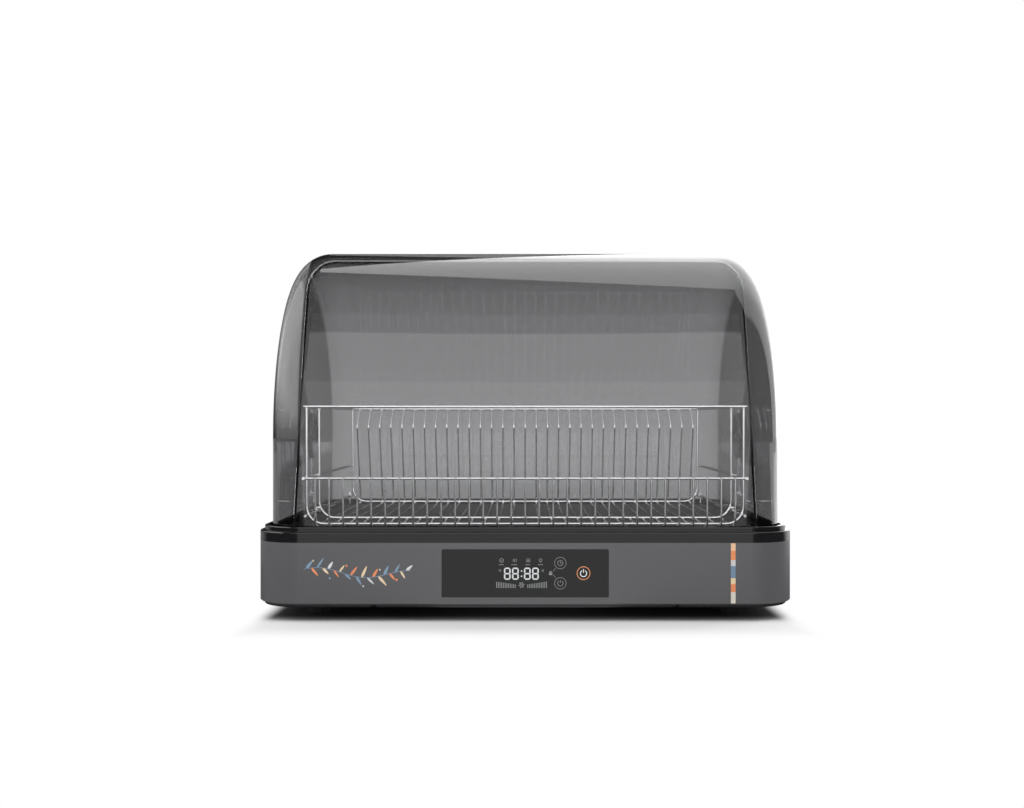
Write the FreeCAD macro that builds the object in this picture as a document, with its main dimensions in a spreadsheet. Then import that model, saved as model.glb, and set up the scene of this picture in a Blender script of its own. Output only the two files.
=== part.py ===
import FreeCAD, Part
import math
import os
import re

import Sketcher

# A countertop dish steriliser: a low base with a blower, heater and ultraviolet lamp, a wire dish
# rack on a drip tray, and a clear arched hood in two halves, whose front half swings up and back.
# Millimetres. X runs to the right, Y to the back, Z up; the origin is on the table, under the middle.

Vector = FreeCAD.Vector
doc = FreeCAD.newDocument("DishSteriliser")
sheet = doc.addObject("Spreadsheet::Sheet", "Sizes")


# ---------------------------------------------------------------- driving dimensions
SIZES = {
    # base
    "body_width": 540,  # base, side to side
    "body_depth": 444,  # base, front to back
    "corner_radius": 45,  # base, plan radius of its corners
    "wall": 3,  # wall of the base mouldings
    "foot_height": 13.7,  # rubber foot below the bottom pan
    "foot_radius": 13.5,  # rubber foot at its widest
    "foot_side_inset": 56.5,  # foot centre inside the base's sides
    "foot_end_inset": 62,  # foot centre inside the base's front and back
    "foot_sunk": 1.2,  # how deep a foot sits in the pan
    "foot_well": 5,  # screw's well in a foot
    "foot_taper": 3,  # foot, narrower at its lower end
    "foot_bevel": 1.5,  # bevel round a foot's lower edge
    "lip_height": 3.5,  # edge of the bottom pan below the housing
    "lip_inset": 4,  # bottom pan inside the housing's outline
    "housing_height": 60.9,  # grey housing wall
    "band_height": 10.3,  # gloss band of the deck above the housing
    "flange_height": 5.1,  # raised flange round the hood's foot
    "flange_inset": 4.5,  # flange inside the band's outline
    "flange_wall": 4.2,  # thickness of the flange
    "channel_depth": 2.4,  # hood channel below the top of the band
    "fit_gap": 0.3,  # gap between pieces that fit inside each other
    "post_radius": 5,  # screw posts of the housing
    "post_side_inset": 120,  # screw posts of the front and back wall, inside the base's side
    "screw_radius": 1.9,  # shank of the case screws
    "head_radius": 3.8,  # head of the case screws
    "head_height": 2.2,  # height of a case screw's head
    "head_sunk": 0.5,  # screw head inside the pan's lower face
    "tip_gap": 1.5,  # free length at a screw's tip
    # the two covers of the hood and their hinges
    "cover_inset": 11.5,  # front cover inside the base's sides
    "cover_step": 12,  # front cover's arch inside the base's front
    "cover_wall": 3,  # wall of both covers
    "cover_round": 38,  # rounding between a cover's arch and its sides
    "cover_lift": 3,  # front cover's foot above the channel floor
    "arch_gap": 3,  # gap between the two arches
    "side_gap": 1,  # gap between the side walls of the two covers
    "pivot_rise": 92.6,  # hinge axis above the band
    "seam_tilt": 17,  # slant of the seam, in degrees
    "seam_lead": 55,  # seam in front of the pivot
    "seam_overlap": 6,  # rear cover under the front cover at the seam
    "ear_half_width": 52,  # root of the front cover's ear, which reaches back to the pivot
    "tab_near": 50,  # front tabs of the rear cover, behind the middle
    "tab_end_inset": 70,  # back tabs of the rear cover, inside its back
    "tab_reach": 10,  # tab inside the rear cover's wall
    "tab_width": 16,  # tab, front to back
    "tab_corner": 4,  # corners of a tab
    "hub_radius": 26.7,  # round hinge hubs
    "hub_margin": 3,  # cover wall round the hub
    "hub_inward": 13.5,  # inner face of the hub inside the cover's outer side
    "cap_proud": 3.5,  # outer face of the hinge cap beyond the cover's side
    "hub_bevel": 1.5,  # bevel of a hub's edge
    "journal_radius": 9,  # hinge journal
    "hinge_head": 10,  # head of the hinge screw
    "hinge_play": 0.2,  # end play of the front cover on its journals
    "washer_radius": 22.7,  # friction washers
    "running_gap": 0.08,  # running clearance round a journal or shaft
    # drip tray
    "tray_side_gap": 1.5,  # tray's side from the cover's tabs
    "tray_inset": 30,  # front edge of the tray inside the base's front
    "tray_back_gap": 2,  # back edge of the tray in front of the grille
    "tray_radius": 24,  # plan radius of the tray's corners
    "tray_wall": 1.6,  # thickness of the tray
    "tray_rise": 2.7,  # top of the tray's floor above the hood channel
    "tray_rim": 2.6,  # rim above the tray's floor
    "tray_seat": 1,  # how deep the tray's seat is in the deck
    "seat_gap": 0.1,  # gap under a piece that lifts out
    # wire rack
    "rack_side_gap": 20.3,  # centre of a post from the hub's inner face
    "rack_front_inset": 22,  # front frame behind the tray's front edge
    "rack_middle": 93,  # second frame from the middle
    "rack_back_inset": 10,  # back frame in front of the tray's back edge
    "rack_height": 124.3,  # top rails above the tray's floor
    "mid_rail_rise": 50.7,  # middle rails above the tray's floor
    "low_rail_rise": 12.3,  # low side rails above the tray's floor
    "frame_wire": 1.5,  # radius of the frame and rail wire
    "plate_wire": 1.1,  # radius of the plate wires
    "frame_bend": 18,  # bend of a frame's lower corner
    "bend_tail": 6,  # straight run left after a bend
    "rail_overhang": 3.4,  # top front rail beyond the posts
    "side_overhang": 5,  # side rails in front of the front posts
    "plate_pitch": 14.35,  # plate wires, centre to centre
    "plate_count": 31,  # number of plate wires
    "kink_drop": 22,  # where a plate wire leans back, below the top rails
    "kink_depth": 28,  # how far the lean carries a plate wire
    "kink_bend": 6,  # bend where a plate wire leans back
    "hook_bend": 2.5,  # bend of a rack foot
    "plate_tail": 14,  # where a plate wire's floor run starts, inside the end frames
    # control panel
    "panel_width": 164.5,  # control panel, side to side
    "panel_height": 46.9,  # control panel, height
    "panel_rise": 0.4,  # middle of the control panel above the wall's middle
    "panel_radius": 1.5,  # corners of the control panel
    "panel_thickness": 2,  # glass of the control panel
    "panel_ledge": 7,  # ledge that carries the panel's edge
    "board_gap": 8,  # display board behind the panel
    "board_thickness": 1.6,  # circuit boards
    "key_across": 34.7,  # time and mode keys, from the middle
    "key_rise": 10,  # the two keys above and below the panel's middle
    "power_across": 57.6,  # power key, from the middle
    "key_radius": 5,  # touch springs
    "display_width": 52,  # display module, side to side
    "display_height": 32,  # display module, height
    "display_across": 3.6,  # display module left of the middle
    # mains inlet
    "inlet_width": 31,  # power inlet, side to side
    "inlet_height": 25,  # power inlet, height
    "inlet_inset": 80,  # power inlet inside the base's side
    "inlet_drop": 0.65,  # power inlet below the wall's middle
    "inlet_depth": 20,  # power inlet, front to back
    "inlet_wall": 2.4,  # wall of the power inlet
    "inlet_lip": 2,  # flange of the inlet beyond its body
    "inlet_corner": 1.5,  # corners of the inlet
    "socket_depth": 15,  # depth of the inlet's socket
    "blade_gap": 7,  # pins of the inlet, centre to centre
    # parts on the main board, placed from its middle
    "transformer_length": 34,  # transformer, side to side
    "transformer_width": 28,  # transformer, front to back
    "transformer_height": 26,  # transformer, height
    "transformer_across": 26,  # transformer, to the left
    "transformer_along": 12,  # transformer, to the back
    "relay_length": 19,  # a relay, side to side
    "relay_width": 15,  # a relay, front to back
    "relay_height": 16,  # a relay, height
    "relay_across": 14,  # relays, to the right
    "relay_along": 2,  # first relay, to the back
    "relay_pitch": 18,  # relays, centre to centre
    "terminal_length": 60,  # terminal strip, side to side
    "terminal_width": 9,  # terminal strip, front to back
    "terminal_height": 12,  # terminal strip, height
    "terminal_across": 4,  # terminal strip, to the left
    "terminal_along": 34,  # terminal strip, to the front
    "capacitor_radius": 6,  # a capacitor
    "capacitor_height": 20,  # a capacitor, height
    "capacitor_across": 42,  # capacitors, to the right
    "capacitor_along": 2,  # first capacitor, to the back
    "capacitor_pitch": 20,  # capacitors, centre to centre
    # details of the base
    "housing_bevel": 1,  # bevel of the housing's lower edge
    "band_round": 1.2,  # rounding of the band's upper edge
    "flange_round": 1.2,  # rounding of the flange's upper edge
    "pan_round": 2,  # rounding of the pan's lower edge
    "rib_wall": 2,  # locating ribs
    "rib_height": 6,  # height of a locating rib
    "post_drop": 8,  # how far the bosses of pan and deck reach to a post
    "foot_boss": 6,  # boss above a foot
    "blower_boss": 4,  # boss that carries the blower
    "boss_across": 32,  # blower's front bosses, either side of the fan axis
    "boss_near": 22,  # blower's front bosses, in front of the fan axis
    "boss_far": 38,  # blower's back boss, behind the fan axis
    "board_boss": 3.5,  # boss that carries a circuit board
    "board_inset": 65,  # main board's outer bosses inside the base's side
    "board_length": 110,  # main board's bosses, side to side
    "board_front": 20,  # main board's front bosses, in front of the middle
    "board_back": 60,  # main board's back bosses, behind the middle
    "board_rise": 10,  # main board above the pan
    "board_edge": 5,  # edge of a circuit board beyond its bosses
    "grille_half_width": 153,  # outlet grille, middle to its end
    "grille_inset": 31.5,  # middle of the outlet grille inside the base's back
    "grille_depth": 17,  # outlet grille, front to back
    "grille_height": 3,  # outlet grille above the deck
    "grille_lip": 2,  # outlet grille beyond its opening
    "grille_wall": 1.5,  # walls and bars of the outlet grille
    "slot_width": 3.2,  # slot of a grille
    "slot_pitch": 6.4,  # slots, centre to centre
    "slot_count": 45,  # slots of the outlet grille
    "vent_count": 10,  # air slots of the bottom pan
    "vent_length": 60,  # air slot of the bottom pan
    "vent_along": 70,  # air slots, in front of the middle
    # lamp under the grille
    "trough_height": 40,  # lamp trough below the deck
    "trough_ahead": 14.5,  # front of the lamp trough from the grille's middle
    "trough_depth": 32,  # lamp trough, front to back
    "trough_lip": 5,  # lip of the trough that hangs it on the deck
    "trough_wall": 1,  # sheet of the lamp trough
    "lamp_radius": 8,  # ultraviolet tube
    "lamp_length": 136,  # ultraviolet tube, end to end
    "lamp_left": 136,  # left end of the tube, left of the middle
    "lamp_drop": 21,  # tube's axis below the deck
    "lamp_cap": 7,  # metal cap at each end of the tube
    "holder_thickness": 9,  # lamp holders
    "holder_width": 18,  # lamp holder, front to back
    "ballast_across": 150,  # lamp's ballast, left of the middle
    "ballast_gap": 51,  # lamp's ballast in front of the trough
    "ballast_length": 78,  # lamp's ballast, side to side
    "ballast_width": 32,  # lamp's ballast, front to back
    "ballast_corner": 1.5,  # lamp's ballast, its corners
    "ballast_height": 24,  # lamp's ballast, height
    # blower and heater
    "fan_across": 50,  # fan axis, right of the middle
    "duct_length": 54,  # from the mouth of the scroll to the trough
    "scroll_start": 46,  # scroll's radius at its tongue
    "scroll_step": 5,  # how much the scroll grows in a quarter turn
    "scroll_wall": 1.8,  # wall of the scroll
    "scroll_drop": 39,  # underside of the scroll below the deck
    "scroll_height": 30,  # scroll, height
    "tongue_across": 12,  # scroll's tongue, right of the fan axis
    "outlet_along": 62,  # mouth of the scroll, behind the fan axis
    "wheel_radius": 38,  # fan wheel
    "wheel_height": 22,  # fan wheel, height
    "blade_count": 20,  # blades of the fan wheel
    "blade_length": 8,  # a blade, from its inner to its outer edge
    "inlet_radius": 29,  # air inlet of the scroll
    "shaft_radius": 2.5,  # motor shaft
    "motor_radius": 19,  # blower motor
    "motor_height": 20,  # blower motor, height
    "motor_flange": 3,  # flange of the motor, its thickness and width
    "fin_count": 11,  # fins of the heater
    "fin_pitch": 3.6,  # heater fins, centre to centre
    "fin_thickness": 0.8,  # a heater fin
    "heater_gap": 28,  # middle of the heater in front of the trough
    "heater_depth": 26,  # heater, front to back
    "heater_bar": 4,  # ceramic bar of the heater
    "wheel_gap": 1.4,  # fan wheel above the scroll's floor
    "wheel_plate": 1.6,  # back plate and top ring of the fan wheel
    "wheel_hub": 6,  # hub of the fan wheel
    "hub_rise": 12,  # hub of the fan wheel, height
    "blade_thickness": 1.1,  # a blade of the fan wheel
    "shaft_hole": 8,  # hole of the scroll's floor round the shaft
    "shaft_sunk": 15,  # shaft inside the motor
    "spring_wall": 0.8,  # wall of a touch spring
    "bumper_across": 160,  # bumpers under the front cover, from the middle
    "bumper_length": 14,  # a bumper, side to side
    "pin_width": 4,  # a pin of the inlet
    "pin_thickness": 2,  # a pin of the inlet, thickness
    "pin_length": 11,  # a pin of the inlet, length
}

for row, (alias, value) in enumerate(SIZES.items(), start=1):
    sheet.set("A%d" % row, alias)
    sheet.set("B%d" % row, str(value))
    sheet.setAlias("B%d" % row, alias)


HOUSING_FOOT = "(foot_height + lip_height)"
BAND_FOOT = "(foot_height + lip_height + housing_height)"
BAND_TOP = "(foot_height + lip_height + housing_height + band_height)"
CHANNEL_FLOOR = "(foot_height + lip_height + housing_height + band_height - channel_depth)"
DECK_UNDERSIDE = "(foot_height + lip_height + housing_height + band_height - channel_depth - wall)"
FLANGE_TOP = "(foot_height + lip_height + housing_height + band_height + flange_height)"
WALL_MIDDLE = "(foot_height + lip_height + housing_height / 2)"

# Places that follow from the sizes: each name stands for its expression wherever it is used.
FOLLOWS = {
    "foot_across": "(body_width / 2 - foot_side_inset)",
    "foot_along": "(body_depth / 2 - foot_end_inset)",
    "post_across": "(body_width / 2 - post_side_inset)",
    "cover_half_width": "(body_width / 2 - cover_inset)",
    "cover_reach": "(body_depth / 2 - cover_step)",
    "tab_far": "(cover_reach - tab_end_inset)",
    "pivot_height": "(%s + pivot_rise)" % BAND_TOP,
    "hub_inner": "(cover_half_width - hub_inward)",
    "hub_outer": "(cover_half_width + cap_proud)",
    "tray_floor": "(%s + tray_rise)" % CHANNEL_FLOOR,
    "tray_width": "(2 * (cover_half_width - 2 * cover_wall - side_gap - tab_reach - tray_side_gap))",
    "tray_front": "(body_depth / 2 - tray_inset)",
    "tray_back": "(grille_along - grille_depth / 2 - tray_back_gap)",
    "rack_half_width": "(hub_inner - rack_side_gap)",
    "rack_front": "(tray_front - rack_front_inset)",
    "rack_back": "(tray_back - rack_back_inset)",
    "rail_height": "(tray_floor + rack_height)",
    "mid_rail_height": "(tray_floor + mid_rail_rise)",
    "low_rail_height": "(tray_floor + low_rail_rise)",
    "kink_height": "(rail_height - kink_drop)",
    "panel_centre": "(%s + panel_rise)" % WALL_MIDDLE,
    "inlet_across": "(body_width / 2 - inlet_inset)",
    "inlet_centre": "(%s - inlet_drop)" % WALL_MIDDLE,
    "board_left": "(body_width / 2 - board_inset)",
    "board_right": "(board_left - board_length)",
    "grille_along": "(body_depth / 2 - grille_inset)",
    "trough_front": "(grille_along - trough_ahead)",
    "lamp_height": "(%s - lamp_drop)" % DECK_UNDERSIDE,
    "ballast_along": "(trough_front - ballast_gap)",
    "fan_along": "(trough_front - duct_length - outlet_along)",
    "scroll_foot": "(%s - scroll_drop)" % DECK_UNDERSIDE,
    "heater_along": "(trough_front - heater_gap)",
}


def tied(expression):
    """The expression in sizes alone, each with the sheet's name before it."""
    before = None
    while expression != before:
        before = expression
        expression = re.sub(r"\b(%s)\b" % "|".join(FOLLOWS), lambda name: FOLLOWS[name.group()], before)
    return re.sub(r"\b(%s)\b" % "|".join(SIZES), r"Sizes.\1", expression)


def number(expression):
    """The value of an expression in sizes."""
    return float(sheet.evalExpression(tied(expression)))


def bind(item, place, expression):
    """Tie a property to an expression in sizes."""
    item.setExpression(place, tied(expression))


doc.recompute()


# ---------------------------------------------------------------- sketches
def corner(across, up, bend=None):
    """A corner of an outline, with the radius of its bend where it is rounded."""
    return ("corner", across, up, bend)


def about(across, up, clockwise=False):
    """Between two corners: the run is an arc about this centre."""
    return ("about", across, up, clockwise)


def origin_plane(body, role):
    for feature in body.Origin.OriginFeatures:
        if feature.Role == role:
            return feature
    raise ValueError("no plane " + role)


def new_sketch(body, name, role="XY_Plane", place="0"):
    """A sketch on one of the body's own planes, moved along that plane's normal."""
    sketch = body.newObject("Sketcher::SketchObject", name)
    sketch.AttachmentSupport = [(origin_plane(body, role), "")]
    sketch.MapMode = "FlatFace"
    bind(sketch, ".AttachmentOffset.Base.z", place)
    return sketch


def dimension(sketch, rows):
    """Add constraints; a row is (kind, its elements, expression or None)."""
    first = sketch.ConstraintCount
    built = []
    for kind, elements, expression in rows:
        values = () if expression is None else (number(expression),)
        built.append(Sketcher.Constraint(kind, *elements, *values))
    sketch.addConstraint(built)
    for offset, (kind, elements, expression) in enumerate(rows):
        if expression is not None:
            bind(sketch, "Constraints[%d]" % (first + offset), expression)


def at_point(geometry, end, across, up):
    """Dimensions that hold one point of a sketch at its distances from the origin."""
    rows = [("DistanceX", (-1, 1, geometry, end), across)]
    rows.append(("DistanceY", (-1, 1, geometry, end), up))
    return rows


def circle(sketch, across, up, radius):
    ring = Part.Circle(Vector(number(across), number(up), 0), Vector(0, 0, 1), number(radius))
    index = sketch.addGeometry(ring)
    dimension(sketch, at_point(index, 3, across, up) + [("Radius", (index,), radius)])


def arc_between(start, end, centre, clockwise):
    radius = (start - centre).Length
    first, last = (end, start) if clockwise else (start, end)
    low = math.atan2(first.y - centre.y, first.x - centre.x)
    high = math.atan2(last.y - centre.y, last.x - centre.x)
    if high <= low:
        high += 2 * math.pi
    return Part.ArcOfCircle(Part.Circle(centre, Vector(0, 0, 1), radius), low, high)


def outline(sketch, steps, closed=True):
    """Draw runs between corners, each corner dimensioned from the sketch's origin."""
    corners = [step for step in steps if step[0] == "corner"]
    points = [Vector(number(c[1]), number(c[2]), 0) for c in corners]
    arcs = {}
    passed = 0
    for step in steps:
        if step[0] == "corner":
            passed += 1
        else:
            arcs[passed - 1] = step
    count = len(corners)
    runs = count if closed else count - 1
    starts = {}
    ends = {}
    bends = {}
    for i, spec in enumerate(corners):
        if spec[3] is None:
            continue
        before = (points[i] - points[i - 1]).normalize()
        after = (points[(i + 1) % count] - points[i]).normalize()
        turn = math.atan2(before.x * after.y - before.y * after.x, before.dot(after))
        setback = number(spec[3]) * math.tan(abs(turn) / 2)
        ends[i] = points[i] - before * setback
        starts[i] = points[i] + after * setback
        side = Vector(-before.y, before.x, 0) * math.copysign(number(spec[3]), turn)
        bends[i] = (ends[i] + side, turn < 0)
    rows = []
    out_end = {}
    in_end = {}
    for i in range(runs):
        j = (i + 1) % count
        start = starts.get(i, points[i])
        end = ends.get(j, points[j])
        if i in arcs:
            centre = Vector(number(arcs[i][1]), number(arcs[i][2]), 0)
            index = sketch.addGeometry(arc_between(start, end, centre, arcs[i][3]))
            out_end[i] = (index, 2 if arcs[i][3] else 1)
            in_end[j] = (index, 1 if arcs[i][3] else 2)
            chord = end - start
            if abs(chord.x) > abs(chord.y):
                rows.append(("DistanceY", (-1, 1, index, 3), arcs[i][2]))
            else:
                rows.append(("DistanceX", (-1, 1, index, 3), arcs[i][1]))
        else:
            index = sketch.addGeometry(Part.LineSegment(start, end))
            out_end[i] = (index, 1)
            in_end[j] = (index, 2)
    for i, spec in enumerate(corners):
        if i in bends:
            centre, clockwise = bends[i]
            bend = sketch.addGeometry(arc_between(ends[i], starts[i], centre, clockwise))
            mark = sketch.addGeometry(Part.Point(points[i]), True)
            rows += at_point(mark, 1, spec[1], spec[2])
            rows.append(("PointOnObject", (mark, 1, in_end[i][0]), None))
            rows.append(("PointOnObject", (mark, 1, out_end[i][0]), None))
            near, far = (2, 1) if clockwise else (1, 2)
            rows.append(("Tangent", (*in_end[i], bend, near), None))
            rows.append(("Tangent", (bend, far, *out_end[i]), None))
            rows.append(("Radius", (bend,), spec[3]))
            continue
        held = in_end.get(i, out_end.get(i))
        rows += at_point(*held, spec[1], spec[2])
        if i in in_end and i in out_end:
            rows.append(("Coincident", (*in_end[i], *out_end[i]), None))
    dimension(sketch, rows)


def rectangle(sketch, width, depth, radius=None, across="0", up="0"):
    """A rectangle about a centre, with rounded corners where a radius is given."""
    left = "%s - (%s) / 2" % (across, width)
    right = "%s + (%s) / 2" % (across, width)
    low = "%s - (%s) / 2" % (up, depth)
    high = "%s + (%s) / 2" % (up, depth)
    places = [(left, low), (right, low), (right, high), (left, high)]
    outline(sketch, [corner(x, y, radius) for x, y in places])


def regular(sketch, sides, across, up, radius):
    """A polygon with flats at the radius, turned so that flats face along both axes."""
    steps = []
    for k in range(sides):
        angle = "%s / %d" % (360 * k + 180, sides)
        reach = "(%s) / cos(180 / %d)" % (radius, sides)
        x = "%s + %s * cos(%s)" % (across, reach, angle)
        y = "%s + %s * sin(%s)" % (up, reach, angle)
        steps.append(corner(x, y))
    outline(sketch, steps)


# ---------------------------------------------------------------- features
def new_body(name):
    return doc.addObject("PartDesign::Body", name)


def pad(body, sketch, length, downwards=False, both_ways=False):
    feature = body.newObject("PartDesign::Pad", "Pad")
    feature.Profile = sketch
    feature.Reversed = downwards
    feature.Midplane = both_ways
    bind(feature, "Length", length)
    return feature


def pocket(body, sketch, length=None, upwards=False, both_ways=False):
    """Cut the sketch's outline out: to a depth, or right through where none is given."""
    feature = body.newObject("PartDesign::Pocket", "Pocket")
    feature.Profile = sketch
    feature.Reversed = upwards
    feature.Midplane = both_ways
    if length is None:
        feature.Type = "ThroughAll"
    else:
        bind(feature, "Length", length)
    return feature


def turned(body, sketch, axis, subtract=False):
    """Revolve a sketch about one of the body's own axes."""
    kind = "PartDesign::Groove" if subtract else "PartDesign::Revolution"
    feature = body.newObject(kind, "Revolve")
    feature.Profile = sketch
    feature.ReferenceAxis = (origin_plane(body, axis), [""])
    feature.Angle = 360
    return feature


def sweep(body, section, path):
    feature = body.newObject("PartDesign::AdditivePipe", "Sweep")
    feature.Profile = section
    feature.Spine = (path, [])
    feature.Transition = "Right corner"
    return feature


def repeat(body, feature, axis, span, count):
    """Copy a feature along an axis of the body: the whole span and how many in all."""
    pattern = body.newObject("PartDesign::LinearPattern", "Row")
    pattern.Originals = [feature]
    pattern.Direction = (origin_plane(body, axis), [""])
    bind(pattern, "Length", span)
    bind(pattern, "Occurrences", count)
    body.Tip = pattern
    return pattern


def around(body, feature, axis, count):
    """Copy a feature round an axis of the body."""
    pattern = body.newObject("PartDesign::PolarPattern", "Ring")
    pattern.Originals = [feature]
    pattern.Axis = (origin_plane(body, axis), [""])
    pattern.Angle = 360
    bind(pattern, "Occurrences", count)
    body.Tip = pattern
    return pattern


def mirror(body, feature, role):
    pattern = body.newObject("PartDesign::Mirrored", "Mirror")
    pattern.Originals = [feature]
    pattern.MirrorPlane = (origin_plane(body, role), [""])
    body.Tip = pattern
    return pattern


def edges_where(shape, test):
    return ["Edge%d" % (i + 1) for i, edge in enumerate(shape.Edges) if test(edge)]


def rounded(body, feature, radius, test):
    """Round the edges of a feature that pass a test."""
    doc.recompute()
    names = edges_where(feature.Shape, test)
    if not names:
        raise ValueError("no edge to round on " + body.Label)
    fillet = body.newObject("PartDesign::Fillet", "Round")
    fillet.Base = (feature, names)
    bind(fillet, "Radius", radius)
    return fillet


def bevelled(body, feature, width, test):
    """Bevel the edges of a feature that pass a test."""
    doc.recompute()
    names = edges_where(feature.Shape, test)
    if not names:
        raise ValueError("no edge to bevel on " + body.Label)
    chamfer = body.newObject("PartDesign::Chamfer", "Bevel")
    chamfer.Base = (feature, names)
    bind(chamfer, "Size", width)
    return chamfer


def level(expression):
    """A test for edges that lie flat at one height."""
    height = number(expression)
    return lambda e: e.BoundBox.ZLength < 1e-6 and abs(e.BoundBox.ZMin - height) < 1e-6


nodes = []


def node(item, name):
    """Name a finished sub-part; its label is also its file's name."""
    item.Label = name
    nodes.append(item)
    return item


def group(name, items):
    """One node of several separate solids."""
    compound = doc.addObject("Part::Compound", name)
    compound.Links = items
    return node(compound, name)


# ---------------------------------------------------------------- base mouldings
def inset_plan(sketch, inset):
    """The base's rounded plan, moved inwards by one distance all round."""
    width = "body_width - 2 * (%s)" % inset
    depth = "body_depth - 2 * (%s)" % inset
    rectangle(sketch, width, depth, "corner_radius - (%s)" % inset)


POST_INSET = "(wall + post_radius - 0.5)"
FRONT_POSTS = "-(body_depth / 2 - %s)" % POST_INSET
BACK_POSTS = "(body_depth / 2 - %s)" % POST_INSET
SIDE_POSTS = "(body_width / 2 - %s)" % POST_INSET
POSTS = [
    ("-post_across", FRONT_POSTS),
    ("post_across", FRONT_POSTS),
    ("-post_across", BACK_POSTS),
    ("post_across", BACK_POSTS),
    ("-" + SIDE_POSTS, "0"),
    (SIDE_POSTS, "0"),
]
FEET = [
    ("-foot_across", "-foot_along"),
    ("foot_across", "-foot_along"),
    ("-foot_across", "foot_along"),
    ("foot_across", "foot_along"),
]
BLOWER_BOSSES = [
    ("fan_across - boss_across", "fan_along - boss_near"),
    ("fan_across + boss_across", "fan_along - boss_near"),
    ("fan_across", "fan_along + boss_far"),
]
BOARD_BOSSES = [
    ("-board_left", "-board_front"),
    ("-board_right", "-board_front"),
    ("-board_left", "board_back"),
    ("-board_right", "board_back"),
]
BOARD_FOOT = "(foot_height + lip_height + board_rise)"


PANEL_BOSS_ACROSS = "(panel_width / 2 - board_boss)"
PANEL_BOSSES = [
    ("-" + PANEL_BOSS_ACROSS, "panel_centre - key_rise"),
    (PANEL_BOSS_ACROSS, "panel_centre - key_rise"),
    ("-" + PANEL_BOSS_ACROSS, "panel_centre + key_rise"),
    (PANEL_BOSS_ACROSS, "panel_centre + key_rise"),
]


def circles(body, name, places, radius, role="XY_Plane", place="0"):
    """A sketch with one circle at each place."""
    sketch = new_sketch(body, name, role, place)
    for across, up in places:
        circle(sketch, across, up, radius)
    return sketch


def make_base_housing():
    """The grey wall: an open ring with screw posts, a panel window and an inlet cut-out."""
    body = new_body("base_housing")
    outer = new_sketch(body, "plan", place=HOUSING_FOOT)
    inset_plan(outer, "0")
    pad(body, outer, "housing_height")
    inner = new_sketch(body, "inside", place=HOUSING_FOOT)
    inset_plan(inner, "wall")
    ring = pocket(body, inner, upwards=True)
    bevelled(body, ring, "housing_bevel", outer_edges_at(HOUSING_FOOT))
    post_foot = HOUSING_FOOT + " + post_drop"
    posts = circles(body, "posts", POSTS, "post_radius", place=post_foot)
    pad(body, posts, "housing_height - 2 * post_drop")
    holes = circles(body, "post_holes", POSTS, "screw_radius + fit_gap", place=post_foot)
    pocket(body, holes, upwards=True)
    recess = new_sketch(body, "panel_recess", "XZ_Plane", "body_depth / 2")
    across = "panel_width + 2 * fit_gap"
    high = "panel_height + 2 * fit_gap"
    rectangle(recess, across, high, "panel_radius", "0", "panel_centre")
    pocket(body, recess, "panel_thickness")
    window = new_sketch(body, "panel_window", "XZ_Plane", "body_depth / 2")
    across = "panel_width - 2 * panel_ledge"
    high = "panel_height - 2 * panel_ledge"
    rectangle(window, across, high, None, "0", "panel_centre")
    pocket(body, window, "wall")
    inside = "body_depth / 2 - wall"
    bosses = circles(body, "panel_bosses", PANEL_BOSSES, "board_boss", "XZ_Plane", inside)
    pad(body, bosses, "panel_thickness + board_gap - wall", downwards=True)
    inlet = new_sketch(body, "inlet_cut", "XZ_Plane", "-body_depth / 2")
    across = "inlet_width - 2 * inlet_lip + 2 * fit_gap"
    high = "inlet_height - 2 * inlet_lip + 2 * fit_gap"
    rectangle(inlet, across, high, "inlet_corner", "-inlet_across", "inlet_centre")
    pocket(body, inlet, "wall", upwards=True)
    seat = new_sketch(body, "inlet_seat", "XZ_Plane", "-body_depth / 2")
    across = "inlet_width + 2 * fit_gap"
    high = "inlet_height + 2 * fit_gap"
    rectangle(seat, across, high, "inlet_corner", "-inlet_across", "inlet_centre")
    pocket(body, seat, "wall / 2", upwards=True)
    return node(body, "base_housing")


def outer_edges_at(expression):
    """A test for the edges of the base's own outline at one height."""
    flat = level(expression)
    reach_x = number("body_width / 2")
    reach_y = number("body_depth / 2")
    margin = number("corner_radius") * 0.6

    def test(edge):
        middle = edge.CenterOfMass
        far = abs(middle.x) > reach_x - 1e-3 or abs(middle.y) > reach_y - 1e-3
        in_corner = abs(middle.x) > reach_x - margin and abs(middle.y) > reach_y - margin
        round_outer = abs(edge.Length - math.pi / 2 * number("corner_radius")) < 1e-3
        return flat(edge) and (far or (in_corner and round_outer))

    return test


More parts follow.
